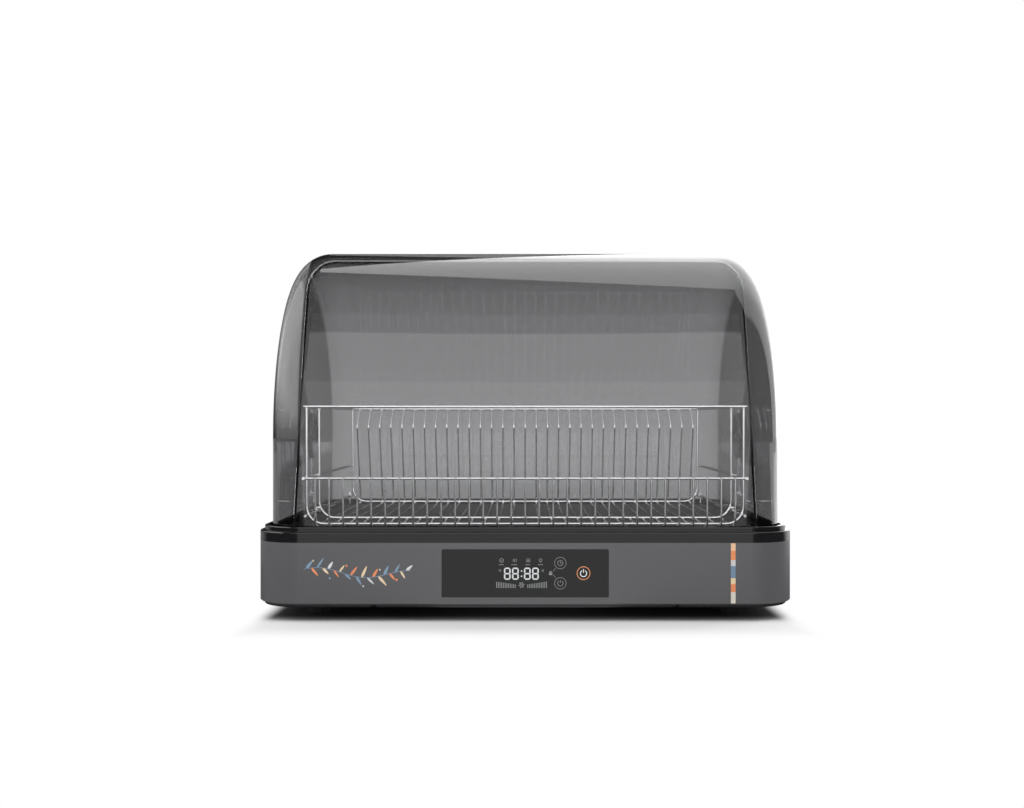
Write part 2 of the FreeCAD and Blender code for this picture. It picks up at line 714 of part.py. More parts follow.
def make_bottom_pan():
    """The dark pan that closes the base: air slots, seats for the feet and bosses inside."""
    body = new_body("bottom_pan")
    plan = new_sketch(body, "plan", place="foot_height")
    inset_plan(plan, "lip_inset")
    plate = pad(body, plan, "lip_height")
    rounded(body, plate, "pan_round", level("foot_height"))
    rib = new_sketch(body, "rib", place=HOUSING_FOOT)
    inset_plan(rib, "wall + fit_gap")
    inset_plan(rib, "wall + fit_gap + rib_wall")
    pad(body, rib, "rib_height")
    bosses = circles(body, "post_bosses", POSTS, "post_radius - 1", place=HOUSING_FOOT)
    pad(body, bosses, "post_drop")
    feet = circles(body, "foot_bosses", FEET, "foot_boss", place=HOUSING_FOOT)
    pad(body, feet, "rib_height")
    blower = circles(body, "blower_bosses", BLOWER_BOSSES, "blower_boss", place=HOUSING_FOOT)
    pad(body, blower, "scroll_foot - %s" % HOUSING_FOOT)
    board = circles(body, "board_bosses", BOARD_BOSSES, "board_boss", place=HOUSING_FOOT)
    pad(body, board, "%s - %s" % (BOARD_FOOT, HOUSING_FOOT))
    seats = circles(body, "foot_seats", FEET, "foot_radius", place="foot_height")
    pocket(body, seats, "foot_sunk", upwards=True)
    holes = circles(body, "foot_holes", FEET, "screw_radius", place="foot_height")
    pocket(body, holes, "lip_height + rib_height - tip_gap", upwards=True)
    heads = circles(body, "screw_wells", POSTS, "head_radius + fit_gap", place="foot_height")
    pocket(body, heads, "head_height + head_sunk", upwards=True)
    shanks = circles(body, "screw_holes", POSTS, "screw_radius + fit_gap", place="foot_height")
    pocket(body, shanks, upwards=True)
    slot = new_sketch(body, "air_slot", place="foot_height")
    left = "fan_across - (vent_count - 1) / 2 * slot_pitch"
    rectangle(slot, "slot_width", "vent_length", None, left, "-vent_along")
    first = pocket(body, slot, "lip_height", upwards=True)
    repeat(body, first, "X_Axis", "(vent_count - 1) * slot_pitch", "vent_count")
    return node(body, "bottom_pan")


def make_deck():
    """The gloss black top: band, raised flange, hood channel, tray seat and grille opening."""
    body = new_body("deck")
    band = new_sketch(body, "band", place=BAND_FOOT)
    inset_plan(band, "0")
    block = pad(body, band, "band_height")
    rounded(body, block, "band_round", level(BAND_TOP))
    flange = new_sketch(body, "flange", place=BAND_TOP)
    inset_plan(flange, "flange_inset")
    block = pad(body, flange, "flange_height")
    rounded(body, block, "flange_round", level(FLANGE_TOP))
    well = new_sketch(body, "well", place=CHANNEL_FLOOR)
    inset_plan(well, "flange_inset + flange_wall")
    pocket(body, well, upwards=True)
    hollow = new_sketch(body, "underside", place=DECK_UNDERSIDE)
    inset_plan(hollow, "wall")
    pocket(body, hollow)
    rib = new_sketch(body, "rib", place=DECK_UNDERSIDE)
    inset_plan(rib, "wall + fit_gap")
    inset_plan(rib, "wall + fit_gap + rib_wall")
    pad(body, rib, "band_height - channel_depth - wall + rib_height", downwards=True)
    boss_length = "band_height - channel_depth - wall + post_drop"
    bosses = circles(body, "bosses", POSTS, "post_radius - 1", place=DECK_UNDERSIDE)
    pad(body, bosses, boss_length, downwards=True)
    pilot = circles(body, "pilot_holes", POSTS, "screw_radius", place=DECK_UNDERSIDE)
    pocket(body, pilot, boss_length)
    seat = new_sketch(body, "tray_seat", place=CHANNEL_FLOOR)
    tray_plan(seat, "-fit_gap")
    pocket(body, seat, "tray_seat")
    opening = new_sketch(body, "grille_opening", place=CHANNEL_FLOOR)
    width = "2 * (grille_half_width - grille_lip)"
    rectangle(opening, width, "grille_depth - 2 * grille_lip", None, "0", "grille_along")
    pocket(body, opening, "wall")
    tabs = circles(body, "tab_holes", TABS, "screw_radius", place=CHANNEL_FLOOR)
    pocket(body, tabs, "wall")
    return node(body, "deck")


def tray_plan(sketch, inset):
    width = "tray_width - 2 * (%s)" % inset
    depth = "tray_front + tray_back - 2 * (%s)" % inset
    middle = "(tray_back - tray_front) / 2"
    rectangle(sketch, width, depth, "tray_radius - (%s)" % inset, "0", middle)


# ---------------------------------------------------------------- hood
REAR_REACH = "(cover_reach - cover_wall - arch_gap)"
REAR_HALF_WIDTH = "(cover_half_width - cover_wall - side_gap)"
REAR_INSIDE = "(cover_half_width - 2 * cover_wall - side_gap)"
COVER_FOOT = "(%s + cover_lift)" % CHANNEL_FLOOR
TAB_ACROSS = "(%s - tab_reach / 2)" % REAR_INSIDE
TABS = [
    ("-" + TAB_ACROSS, "tab_near"),
    (TAB_ACROSS, "tab_near"),
    ("-" + TAB_ACROSS, "tab_far"),
    (TAB_ACROSS, "tab_far"),
]


def arch(sketch, reach, foot):
    """An arched side view: straight walls up to the pivot's height and a half circle above."""
    outline(sketch, [
        corner("-(%s)" % reach, foot),
        corner("-(%s)" % reach, "pivot_height"),
        about("0", "pivot_height", clockwise=True),
        corner(reach, "pivot_height"),
        corner(reach, foot),
    ])


def hood_shell(body, reach, half_width, foot, rounding):
    """A closed arch, rounded along its sides and hollowed from below."""
    side = new_sketch(body, "arch", "YZ_Plane")
    arch(side, reach, foot)
    block = pad(body, side, "2 * (%s)" % half_width, both_ways=True)
    height = number(foot)

    def side_edge(edge):
        box = edge.BoundBox
        return box.XLength < 1e-6 and box.ZMax > height + 1e-3

    smooth = rounded(body, block, rounding, side_edge)
    doc.recompute()
    low = number(foot)
    faces = smooth.Shape.Faces
    open_face = [i for i, f in enumerate(faces) if f.BoundBox.ZMax < low + 1e-3]
    shell = body.newObject("PartDesign::Thickness", "Shell")
    shell.Base = (smooth, ["Face%d" % (i + 1) for i in open_face])
    shell.Reversed = True
    bind(shell, "Value", "cover_wall")
    return shell


def cut_at_seam(body, keeps_front):
    """Remove one side of a slanted line; the front half keeps an ear back to the pivot."""
    side = new_sketch(body, "seam", "YZ_Plane")
    lobe = "(hub_radius + hub_margin)"
    sign = "1" if keeps_front else "-1"
    away = ("%s * cos(seam_tilt)" % sign, "-%s * sin(seam_tilt)" % sign)

    def place(along, out):
        """A point along the seam and out from the pivot, towards the side that is removed."""
        y = "(%s) * sin(seam_tilt) + (%s) * %s" % (along, out, away[0])
        z = "pivot_height + (%s) * cos(seam_tilt) + (%s) * %s" % (along, out, away[1])
        return corner(y, z)

    far = "2 * cover_reach"
    line = "-seam_lead" if keeps_front else "seam_lead + seam_overlap"
    ear = [
        place("ear_half_width", line),
        place(lobe, "0"),
        about("0", "pivot_height", clockwise=True),
        place("-%s" % lobe, "0"),
        place("-ear_half_width", line),
    ]
    outline(side, [
        place(far, line),
        *(ear if keeps_front else []),
        place("-(%s)" % far, line),
        place("-(%s)" % far, far),
        place(far, far),
    ])
    return pocket(body, side, both_ways=True)


def make_front_cover():
    """The clear front half of the hood, which swings up and back on the two hubs."""
    body = new_body("front_cover")
    hood_shell(body, "cover_reach", "cover_half_width", COVER_FOOT, "cover_round")
    cut_at_seam(body, keeps_front=True)
    bore = circles(body, "bores", [("0", "pivot_height")], "journal_radius + running_gap", "YZ_Plane")
    pocket(body, bore, both_ways=True)
    return node(body, "front_cover")


def make_rear_cover():
    """The clear rear half, fixed to the deck by four screwed tabs inside its foot."""
    body = new_body("rear_cover")
    rounding = "cover_round - arch_gap"
    hood_shell(body, REAR_REACH, REAR_HALF_WIDTH, CHANNEL_FLOOR, rounding)
    cut_at_seam(body, keeps_front=False)
    bore = circles(body, "bores", [("0", "pivot_height")], "journal_radius", "YZ_Plane")
    pocket(body, bore, both_ways=True)
    tabs = new_sketch(body, "tabs", place=CHANNEL_FLOOR)
    for across, along in TABS:
        sign = "-" if across.startswith("-") else ""
        outward = "%s(%s + 1)" % (sign, REAR_INSIDE)
        inward = "%s(%s - tab_reach)" % (sign, REAR_INSIDE)
        outline(tabs, [
            corner(outward, "%s - tab_width / 2" % along),
            corner(inward, "%s - tab_width / 2" % along, "tab_corner"),
            corner(inward, "%s + tab_width / 2" % along, "tab_corner"),
            corner(outward, "%s + tab_width / 2" % along),
        ])
    pad(body, tabs, "cover_wall")
    holes = circles(body, "tab_holes", TABS, "screw_radius", place=CHANNEL_FLOOR)
    pocket(body, holes, "cover_wall", upwards=True)
    return node(body, "rear_cover")


# ---------------------------------------------------------------- hinges and screws
def spun(name, profile, axis="Z_Axis", role="XZ_Plane"):
    """A turned piece from its half profile."""
    body = new_body(name)
    sketch = new_sketch(body, "profile", role)
    outline(sketch, profile)
    turned(body, sketch, axis)
    return body


def stand_at(item, across, along, up):
    """Set a piece down at a place that follows the sizes."""
    bind(item, ".Placement.Base.x", across)
    bind(item, ".Placement.Base.y", along)
    bind(item, ".Placement.Base.z", up)
    return item


def copy_of(item, across, along, up):
    """Another copy of a finished piece, at its own place."""
    link = doc.addObject("App::Link", "Copy")
    link.LinkedObject = item
    return stand_at(link, across, along, up)


def hinge_piece(name, profile):
    body = spun(name, profile, "X_Axis")
    return stand_at(body, "0", "0", "pivot_height")


JOURNAL_END = "(cover_half_width + hinge_play)"


def make_hinge(side):
    """One side's hub with its journal, cap on the front cover, washer and screw."""
    inner = "%s * hub_inner" % side
    end = "%s * %s" % (side, JOURNAL_END)
    inside = "%s * %s" % (side, REAR_INSIDE)
    hub = hinge_piece("hub", [
        corner(inner, "screw_radius"),
        corner(end, "screw_radius"),
        corner(end, "journal_radius"),
        corner(inside, "journal_radius"),
        corner(inside, "hub_radius"),
        corner("%s * (hub_inner + hub_bevel)" % side, "hub_radius"),
        corner(inner, "hub_radius - hub_bevel"),
    ])
    face = "%s * cover_half_width" % side
    well = "%s * (cover_half_width + head_height + 2 * hinge_play)" % side
    outer = "%s * hub_outer" % side
    cap = hinge_piece("cap", [
        corner(face, "hinge_head + hub_bevel"),
        corner(well, "hinge_head + hub_bevel"),
        corner(well, "0"),
        corner(outer, "0"),
        corner(outer, "hub_radius - hub_bevel"),
        corner("%s * (hub_outer - hub_bevel)" % side, "hub_radius"),
        corner(face, "hub_radius"),
    ])
    near = "%s * %s" % (side, REAR_HALF_WIDTH)
    far = "%s * (%s + side_gap - seat_gap)" % (side, REAR_HALF_WIDTH)
    washer = hinge_piece("washer", [
        corner(near, "journal_radius"),
        corner(far, "journal_radius"),
        corner(far, "washer_radius"),
        corner(near, "washer_radius"),
    ])
    tip = "%s * (hub_inner + hinge_play)" % side
    head = "%s * (%s + head_height)" % (side, JOURNAL_END)
    screw = hinge_piece("screw", [
        corner(tip, "0"),
        corner(head, "0"),
        corner(head, "hinge_head"),
        corner(end, "hinge_head"),
        corner(end, "screw_radius"),
        corner(tip, "screw_radius"),
    ])
    return hub, cap, washer, screw


def make_hinges():
    left = make_hinge("-1")
    right = make_hinge("1")
    names = ("hinge_hubs", "hinge_caps", "hinge_washers", "hinge_screws")
    for name, pair in zip(names, zip(left, right)):
        group(name, list(pair))


def screw_body(name, length, sign="1"):
    """A pan-head screw along Z; its head's flat side is at its own origin."""
    return spun(name, [
        corner("0", "-%s * head_height" % sign),
        corner("head_radius - head_height / 3", "-%s * head_height" % sign),
        corner("head_radius", "-%s * head_height * 2 / 3" % sign),
        corner("head_radius", "0"),
        corner("screw_radius", "0"),
        corner("screw_radius", "%s * (%s)" % (sign, length)),
        corner("0", "%s * (%s)" % (sign, length)),
    ])


def make_screws():
    """Case screws from below, foot screws, and the screws of the rear cover's tabs."""
    head_level = "(foot_height + head_height + head_sunk)"
    reach = "%s - %s - tip_gap" % (DECK_UNDERSIDE, head_level)
    case = stand_at(screw_body("case_screw", reach), *POSTS[0], head_level)
    group("case_screws", [case] + [copy_of(case, *place, head_level) for place in POSTS[1:]])
    foot_level = "foot_well"
    reach = "foot_height + lip_height + rib_height - 2 * tip_gap - %s" % foot_level
    foot = stand_at(screw_body("foot_screw", reach), *FEET[0], foot_level)
    group("foot_screws", [foot] + [copy_of(foot, *place, foot_level) for place in FEET[1:]])
    tab_level = "(%s + cover_wall)" % CHANNEL_FLOOR
    tab = stand_at(screw_body("tab_screw", "cover_wall + wall + tip_gap", "-1"), *TABS[0], tab_level)
    group("cover_screws", [tab] + [copy_of(tab, *place, tab_level) for place in TABS[1:]])


def make_rubber_feet():
    """Four soft feet, each with a well for its screw."""
    foot = spun("foot", [
        corner("screw_radius", "foot_well"),
        corner("head_radius + fit_gap", "foot_well"),
        corner("head_radius + fit_gap", "0"),
        corner("foot_radius - foot_taper - foot_bevel", "0"),
        corner("foot_radius - foot_taper", "foot_bevel"),
        corner("foot_radius - foot_bevel / 2", "foot_height / 2"),
        corner("foot_radius", "foot_height / 2 + foot_bevel"),
        corner("foot_radius", "foot_height + foot_sunk"),
        corner("screw_radius", "foot_height + foot_sunk"),
    ])
    stand_at(foot, *FEET[0], "0")
    group("rubber_feet", [foot] + [copy_of(foot, *place, "0") for place in FEET[1:]])


# ---------------------------------------------------------------- tray and rack
TRAY_UNDERSIDE = "(%s - tray_seat + seat_gap)" % CHANNEL_FLOOR


def make_drip_tray():
    """A shallow moulded tray that lies in the deck's seat and lifts out."""
    body = new_body("drip_tray")
    plan = new_sketch(body, "plan", place=TRAY_UNDERSIDE)
    tray_plan(plan, "0")
    block = pad(body, plan, "tray_floor + tray_rim - %s" % TRAY_UNDERSIDE)
    rounded(body, block, "0.7", level("tray_floor + tray_rim"))
    basin = new_sketch(body, "basin", place="tray_floor")
    tray_plan(basin, "tray_wall")
    pocket(body, basin, upwards=True)
    hollow = new_sketch(body, "hollow", place="tray_floor - tray_wall")
    tray_plan(hollow, "tray_wall")
    pocket(body, hollow)
    return node(body, "drip_tray")


WIRE_FLOOR = "(tray_floor + seat_gap + plate_wire)"
FRAME_FLOOR = "(%s + plate_wire + frame_wire)" % WIRE_FLOOR
PLATE_BEND = "(2 * frame_wire + plate_wire)"
PLATE_FRONT = "(rack_front + 2 * frame_wire + plate_wire + frame_wire)"
PLATE_BACK = "(rack_back + frame_wire + 1.4 * %s)" % PLATE_BEND
SIDES = 8


def rod(name, role, across, up, radius, start, length):
    """A straight wire along the normal of a plane."""
    body = new_body(name)
    section = new_sketch(body, "section", role, start)
    regular(section, SIDES, across, up, radius)
    pad(body, section, length)
    return body


def bent_wire(name, path_steps, role, place, section_spot, radius, section_role, section_level):
    """A wire swept along runs and bends that lie in one plane."""
    body = new_body(name)
    path = new_sketch(body, "path", role, place)
    outline(path, path_steps, closed=False)
    section = new_sketch(body, "section", section_role, section_level)
    regular(section, SIDES, *section_spot, radius)
    sweep(body, section, path)
    return body


def make_frame(name, along):
    """One upright frame: two posts, each bent in at the foot, and the run between them."""
    pieces = []
    for sign in ("-", ""):
        across = sign + "rack_half_width"
        inward = "%s(rack_half_width - frame_bend - bend_tail)" % sign
        post = bent_wire(
            "post",
            [
                corner(across, "rail_height - frame_wire"),
                corner(across, FRAME_FLOOR, "frame_bend"),
                corner(inward, FRAME_FLOOR),
            ],
            "XZ_Plane", "-(%s)" % along,
            (across, along), "frame_wire", "XY_Plane", "rail_height - frame_wire",
        )
        pieces.append(post)
    reach = "(rack_half_width - frame_bend - bend_tail)"
    run = rod("run", "YZ_Plane", along, FRAME_FLOOR, "frame_wire", "-" + reach, "2 * " + reach)
    pieces.append(run)
    return group(name, pieces)


# The low rails lie against the outside of the frames' bends, so their place follows the bend.
BEND_CENTRE = "(rack_half_width - frame_bend)"
BEND_DROP = "(%s + frame_bend - low_rail_height)" % FRAME_FLOOR
LOW_RAIL = "(%s + sqrt((frame_bend + 2.075 * frame_wire) ^ 2 - %s ^ 2))" % (BEND_CENTRE, BEND_DROP)


def make_rails():
    """The straight rails: round the top, round the middle and low along the sides."""
    across = "(rack_half_width + rail_overhang)"
    front = rod("top_front", "YZ_Plane", "-rack_front", "rail_height", "frame_wire",
                "-" + across, "2 * " + across)
    inside = "(rack_half_width - frame_wire)"
    back = rod("top_back", "YZ_Plane", "rack_back", "rail_height", "frame_wire",
               "-" + inside, "2 * " + inside)
    pieces = [front, back]
    length = "rack_front + rack_back"
    for sign in ("-", ""):
        x = sign + "rack_half_width"
        pieces.append(rod("top_side", "XZ_Plane", x, "rail_height", "frame_wire",
                          "-(rack_back + frame_wire)", length))
    group("rack_top_rails", pieces)
    reach = "(rack_half_width + frame_wire)"
    front = rod("mid_front", "YZ_Plane", "-(rack_front + 2 * frame_wire)", "mid_rail_height",
                "frame_wire", "-" + reach, "2 * " + reach)
    pieces = [front]
    side_length = "rack_front + rack_back + frame_wire + side_overhang"
    for sign in ("-", ""):
        x = "%s(rack_half_width + 2 * frame_wire)" % sign
        pieces.append(rod("mid_side", "XZ_Plane", x, "mid_rail_height", "frame_wire",
                          "-(rack_back + frame_wire)", side_length))
    group("rack_mid_rails", pieces)
    pieces = []
    for sign in ("-", ""):
        pieces.append(rod("low_side", "XZ_Plane", sign + LOW_RAIL, "low_rail_height", "frame_wire",
                          "-(rack_back + frame_wire)", side_length))
    group("rack_low_rails", pieces)


FIRST_WIRE = "(-plate_pitch * (plate_count - 1) / 2)"


def row_of(body, name):
    """Repeat a plate wire across the rack."""
    repeat(body, body.Tip, "X_Axis", "plate_pitch * (plate_count - 1)", "plate_count")
    return node(body, name)


def make_plate_wires():
    """The plate wires, each in three runs: up the front, along the floor and up the back."""
    front = bent_wire(
        "front_wire",
        [
            corner("-" + PLATE_FRONT, "mid_rail_height"),
            corner("-" + PLATE_FRONT, WIRE_FLOOR, PLATE_BEND),
            corner("-(rack_front - plate_tail)", WIRE_FLOOR),
        ],
        "YZ_Plane", FIRST_WIRE,
        (FIRST_WIRE, "-" + PLATE_FRONT), "plate_wire", "XY_Plane", "mid_rail_height",
    )
    row_of(front, "rack_front_wires")
    floor = rod("floor_wire", "XZ_Plane", FIRST_WIRE, WIRE_FLOOR, "plate_wire",
                "-(rack_back - plate_tail)", "rack_front + rack_back - 2 * plate_tail")
    row_of(floor, "rack_floor_wires")
    back = bent_wire(
        "back_wire",
        [
            corner("rack_back - plate_tail", WIRE_FLOOR),
            corner(PLATE_BACK, WIRE_FLOOR, PLATE_BEND),
            corner("rack_back - kink_depth", "kink_height", "kink_bend"),
            corner("rack_back - 0.82 * frame_wire", "rail_height - 0.637 * frame_wire"),
        ],
        "YZ_Plane", FIRST_WIRE,
        (FIRST_WIRE, WIRE_FLOOR), "plate_wire", "XZ_Plane", "-(rack_back - plate_tail)",
    )
    row_of(back, "rack_back_wires")


def make_rack_feet():
    """Four hooks over the low side rails that reach down to the tray, in front of a post."""
    pieces = []
    over = "(low_rail_height + 2 * frame_wire)"
    for along in ("(-rack_middle - 2 * frame_wire)", "(rack_back - 2 * frame_wire)"):
        for sign in ("-", ""):
            leg = "%s(%s + 2 * frame_wire)" % (sign, LOW_RAIL)
            hook = bent_wire(
                "hook",
                [
                    corner(leg, "tray_floor + seat_gap"),
                    corner(leg, over, "hook_bend"),
                    corner("%s(%s - 2 * frame_wire)" % (sign, LOW_RAIL), over),
                ],
                "XZ_Plane", "-" + along,
                (leg, along), "frame_wire", "XY_Plane", "tray_floor + seat_gap",
            )
            pieces.append(hook)
    group("rack_feet", pieces)


# ---------------------------------------------------------------- lamp, grille and heater
def box(name, across, along, up, width, depth, height):
    """A plain block about a middle in plan, standing at a height."""
    body = new_body(name)
    plan = new_sketch(body, "plan", place=up)
    rectangle(plan, width, depth, None, across, along)
    pad(body, plan, height)
    return body


def make_grille():
    """The slotted outlet that drops into the deck behind the tray."""
    body = new_body("outlet_grille")
    plate = new_sketch(body, "plate", place=CHANNEL_FLOOR)
    rectangle(plate, "2 * grille_half_width", "grille_depth", "grille_lip", "0", "grille_along")
    pad(body, plate, "grille_height")
    neck = new_sketch(body, "neck", place=CHANNEL_FLOOR)
    width = "2 * (grille_half_width - grille_lip - fit_gap)"
    depth = "(grille_depth - 2 * grille_lip - 2 * fit_gap)"
    rectangle(neck, width, depth, None, "0", "grille_along")
    pad(body, neck, "wall", downwards=True)
    hollow = new_sketch(body, "hollow", place="%s - wall" % CHANNEL_FLOOR)
    inside = "%s - 2 * grille_wall" % depth
    rectangle(hollow, "%s - 2 * grille_wall" % width, inside, None, "0", "grille_along")
    pocket(body, hollow, "wall + grille_height - grille_wall", upwards=True)
    slot = new_sketch(body, "slot", place="%s + grille_height" % CHANNEL_FLOOR)
    left = "-(slot_count - 1) / 2 * slot_pitch"
    rectangle(slot, "slot_width", inside, None, left, "grille_along")
    first = pocket(body, slot, "grille_wall + grille_height / 2")
    repeat(body, first, "X_Axis", "(slot_count - 1) * slot_pitch", "slot_count")
    return node(body, "outlet_grille")


TROUGH_FLOOR = "(%s - trough_height)" % DECK_UNDERSIDE
TROUGH_MIDDLE = "(trough_front + trough_depth / 2)"
MOUTH_LEFT = "(fan_across + tongue_across)"
MOUTH_RIGHT = "(fan_across + scroll_start + 2 * scroll_step)"
MOUTH_MIDDLE = "((%s + %s) / 2)" % (MOUTH_LEFT, MOUTH_RIGHT)
MOUTH_WIDTH = "(%s - %s)" % (MOUTH_RIGHT, MOUTH_LEFT)
DUCT_MIDDLE = "(scroll_foot + scroll_height / 2)"


def make_trough():
    """A folded sheet trough that hangs under the outlet and holds the ultraviolet tube."""
    body = new_body("lamp_trough")
    width = "(2 * grille_half_width)"
    plan = new_sketch(body, "plan", place=TROUGH_FLOOR)
    rectangle(plan, width, "trough_depth", None, "0", TROUGH_MIDDLE)
    pad(body, plan, "trough_height")
    lip = new_sketch(body, "lip", place="%s - trough_wall" % DECK_UNDERSIDE)
    depth = "trough_depth + trough_lip"
    middle = "%s - trough_lip / 2" % TROUGH_MIDDLE
    rectangle(lip, "%s + 2 * trough_lip" % width, depth, None, "0", middle)
    pad(body, lip, "trough_wall")
    hollow = new_sketch(body, "hollow", place="%s + trough_wall" % TROUGH_FLOOR)
    inside = "trough_depth - 2 * trough_wall"
    rectangle(hollow, "%s - 2 * trough_wall" % width, inside, None, "0", TROUGH_MIDDLE)
    pocket(body, hollow, upwards=True)
    mouth = new_sketch(body, "mouth", "XZ_Plane", "-trough_front")
    across = "%s - 2 * scroll_wall" % MOUTH_WIDTH
    high = "scroll_height - 2 * scroll_wall"
    rectangle(mouth, across, high, None, MOUTH_MIDDLE, DUCT_MIDDLE)
    pocket(body, mouth, "2 * trough_wall", both_ways=True)
    return node(body, "lamp_trough")


def lamp_turned(name, steps):
    """A piece turned about the tube's axis; its sketch starts at the tube's left end."""
    body = spun(name, steps, "X_Axis")
    return stand_at(body, "-lamp_left", TROUGH_MIDDLE, "lamp_height")


def make_lamp():
    """The ultraviolet tube, its two metal caps and the holders that stand in the trough."""
    tube = lamp_turned("uv_lamp", [
        corner("lamp_cap", "0"),
        corner("lamp_length - lamp_cap", "0"),
        corner("lamp_length - lamp_cap", "lamp_radius"),
        corner("lamp_cap", "lamp_radius"),
    ])
    node(tube, "uv_lamp")
    caps = []
    for start, stop in (("0", "lamp_cap"), ("lamp_length", "lamp_length - lamp_cap")):
        caps.append(lamp_turned("cap", [
            corner(start, "0"),
            corner(stop, "0"),
            corner(stop, "lamp_radius + seat_gap"),
            corner(start, "lamp_radius + seat_gap"),
        ]))
    group("lamp_caps", caps)
    holders = []
    for middle in (
        "-lamp_left - holder_thickness / 2",
        "-lamp_left + lamp_length + holder_thickness / 2",
    ):
        holder = new_body("holder")
        side = new_sketch(holder, "side", "YZ_Plane", middle)
        low = "%s + trough_wall" % TROUGH_FLOOR
        left = "%s - holder_width / 2" % TROUGH_MIDDLE
        right = "%s + holder_width / 2" % TROUGH_MIDDLE
        outline(side, [
            corner(left, low),
            corner(right, low),
            corner(right, "lamp_height + holder_width / 2", "holder_width / 3"),
            corner(left, "lamp_height + holder_width / 2", "holder_width / 3"),
        ])
        pad(holder, side, "holder_thickness", both_ways=True)
        holders.append(holder)
    group("lamp_holders", holders)


def make_ballast():
    """The lamp's ballast: a case with a mounting ear at each end, on the pan."""
    body = new_body("lamp_ballast")
    ears = new_sketch(body, "ears", place=HOUSING_FOOT)
    length = "ballast_length + 4 * board_boss"
    rectangle(ears, length, "ballast_width / 2", "board_boss", "-ballast_across", "ballast_along")
    pad(body, ears, "board_thickness")
    case = new_sketch(body, "case", place=HOUSING_FOOT)
    rectangle(case, "ballast_length", "ballast_width", "ballast_corner", "-ballast_across", "ballast_along")
    pad(body, case, "ballast_height")
    ends = []
    for sign in ("-", "+"):
        ends.append(("-ballast_across %s (ballast_length / 2 + board_boss)" % sign, "ballast_along"))
    holes = circles(body, "holes", ends, "screw_radius", place=HOUSING_FOOT)
    pocket(body, holes, "board_thickness", upwards=True)
    return node(body, "lamp_ballast")


# ---------------------------------------------------------------- blower
def scroll_plan(sketch, inset):
    """The blower's spiral in plan: three quarter arcs that grow, and a straight mouth."""
    first = "(scroll_start - %s)" % inset
    second = "(scroll_start + scroll_step - %s)" % inset
    third = "(scroll_start + 2 * scroll_step - %s)" % inset
    tongue = "(tongue_across + %s)" % inset
    cut = "sqrt(%s ^ 2 - (%s + scroll_step) ^ 2)" % (first, tongue)
    outline(sketch, [
        corner(third, "outlet_along"),
        corner(tongue, "outlet_along"),
        corner(tongue, cut),
        about("-scroll_step", "0"),
        corner("-(scroll_step + %s)" % first, "0"),
        about("0", "0"),
        corner("0", "-" + second),
        about("0", "scroll_step"),
        corner(third, "scroll_step"),
    ])


def at_fan(body):
    return stand_at(body, "fan_across", "fan_along", "0")


def make_blower():
    """The blower's spiral housing, the lid with the air inlet and the motor underneath."""
    body = new_body("blower_housing")
    plan = new_sketch(body, "plan", place="scroll_foot")
    scroll_plan(plan, "0")
    pad(body, plan, "scroll_height")
    hollow = new_sketch(body, "hollow", place="scroll_foot + scroll_wall")
    scroll_plan(hollow, "scroll_wall")
    pocket(body, hollow, upwards=True)
    mouth = new_sketch(body, "mouth", "XZ_Plane", "-outlet_along")
    across = "%s - 2 * scroll_wall" % MOUTH_WIDTH
    middle = "%s - fan_across" % MOUTH_MIDDLE
    high = "scroll_height - 2 * scroll_wall"
    rectangle(mouth, across, high, None, middle, DUCT_MIDDLE)
    pocket(body, mouth, "2 * scroll_wall + 1", both_ways=True)
    hole = circles(body, "shaft_hole", [("0", "0")], "shaft_hole", place="scroll_foot")
    pocket(body, hole, "scroll_wall", upwards=True)
    node(at_fan(body), "blower_housing")
    lid = new_body("blower_lid")
    plan = new_sketch(lid, "plan", place="scroll_foot + scroll_height")
    scroll_plan(plan, "0")
    pad(lid, plan, "scroll_wall")
    collar = new_sketch(lid, "collar", place="scroll_foot + scroll_height")
    circle(collar, "0", "0", "inlet_radius")
    circle(collar, "0", "0", "inlet_radius + 2 * scroll_wall")
    pad(lid, collar, "2 * scroll_wall")
    hole = circles(lid, "inlet", [("0", "0")], "inlet_radius", place="scroll_foot + scroll_height")
    pocket(lid, hole, upwards=True)
    node(at_fan(lid), "blower_lid")
    motor = spun("blower_motor", [
        corner("shaft_radius + running_gap", "scroll_foot - motor_height"),
        corner("motor_radius - motor_flange", "scroll_foot - motor_height"),
        corner("motor_radius", "scroll_foot - motor_height + motor_flange"),
        corner("motor_radius", "scroll_foot - motor_flange"),
        corner("motor_radius + motor_flange", "scroll_foot - motor_flange"),
        corner("motor_radius + motor_flange", "scroll_foot"),
        corner("shaft_radius + running_gap", "scroll_foot"),
    ])
    node(at_fan(motor), "blower_motor")


WHEEL_FOOT = "(scroll_foot + scroll_wall + wheel_gap)"


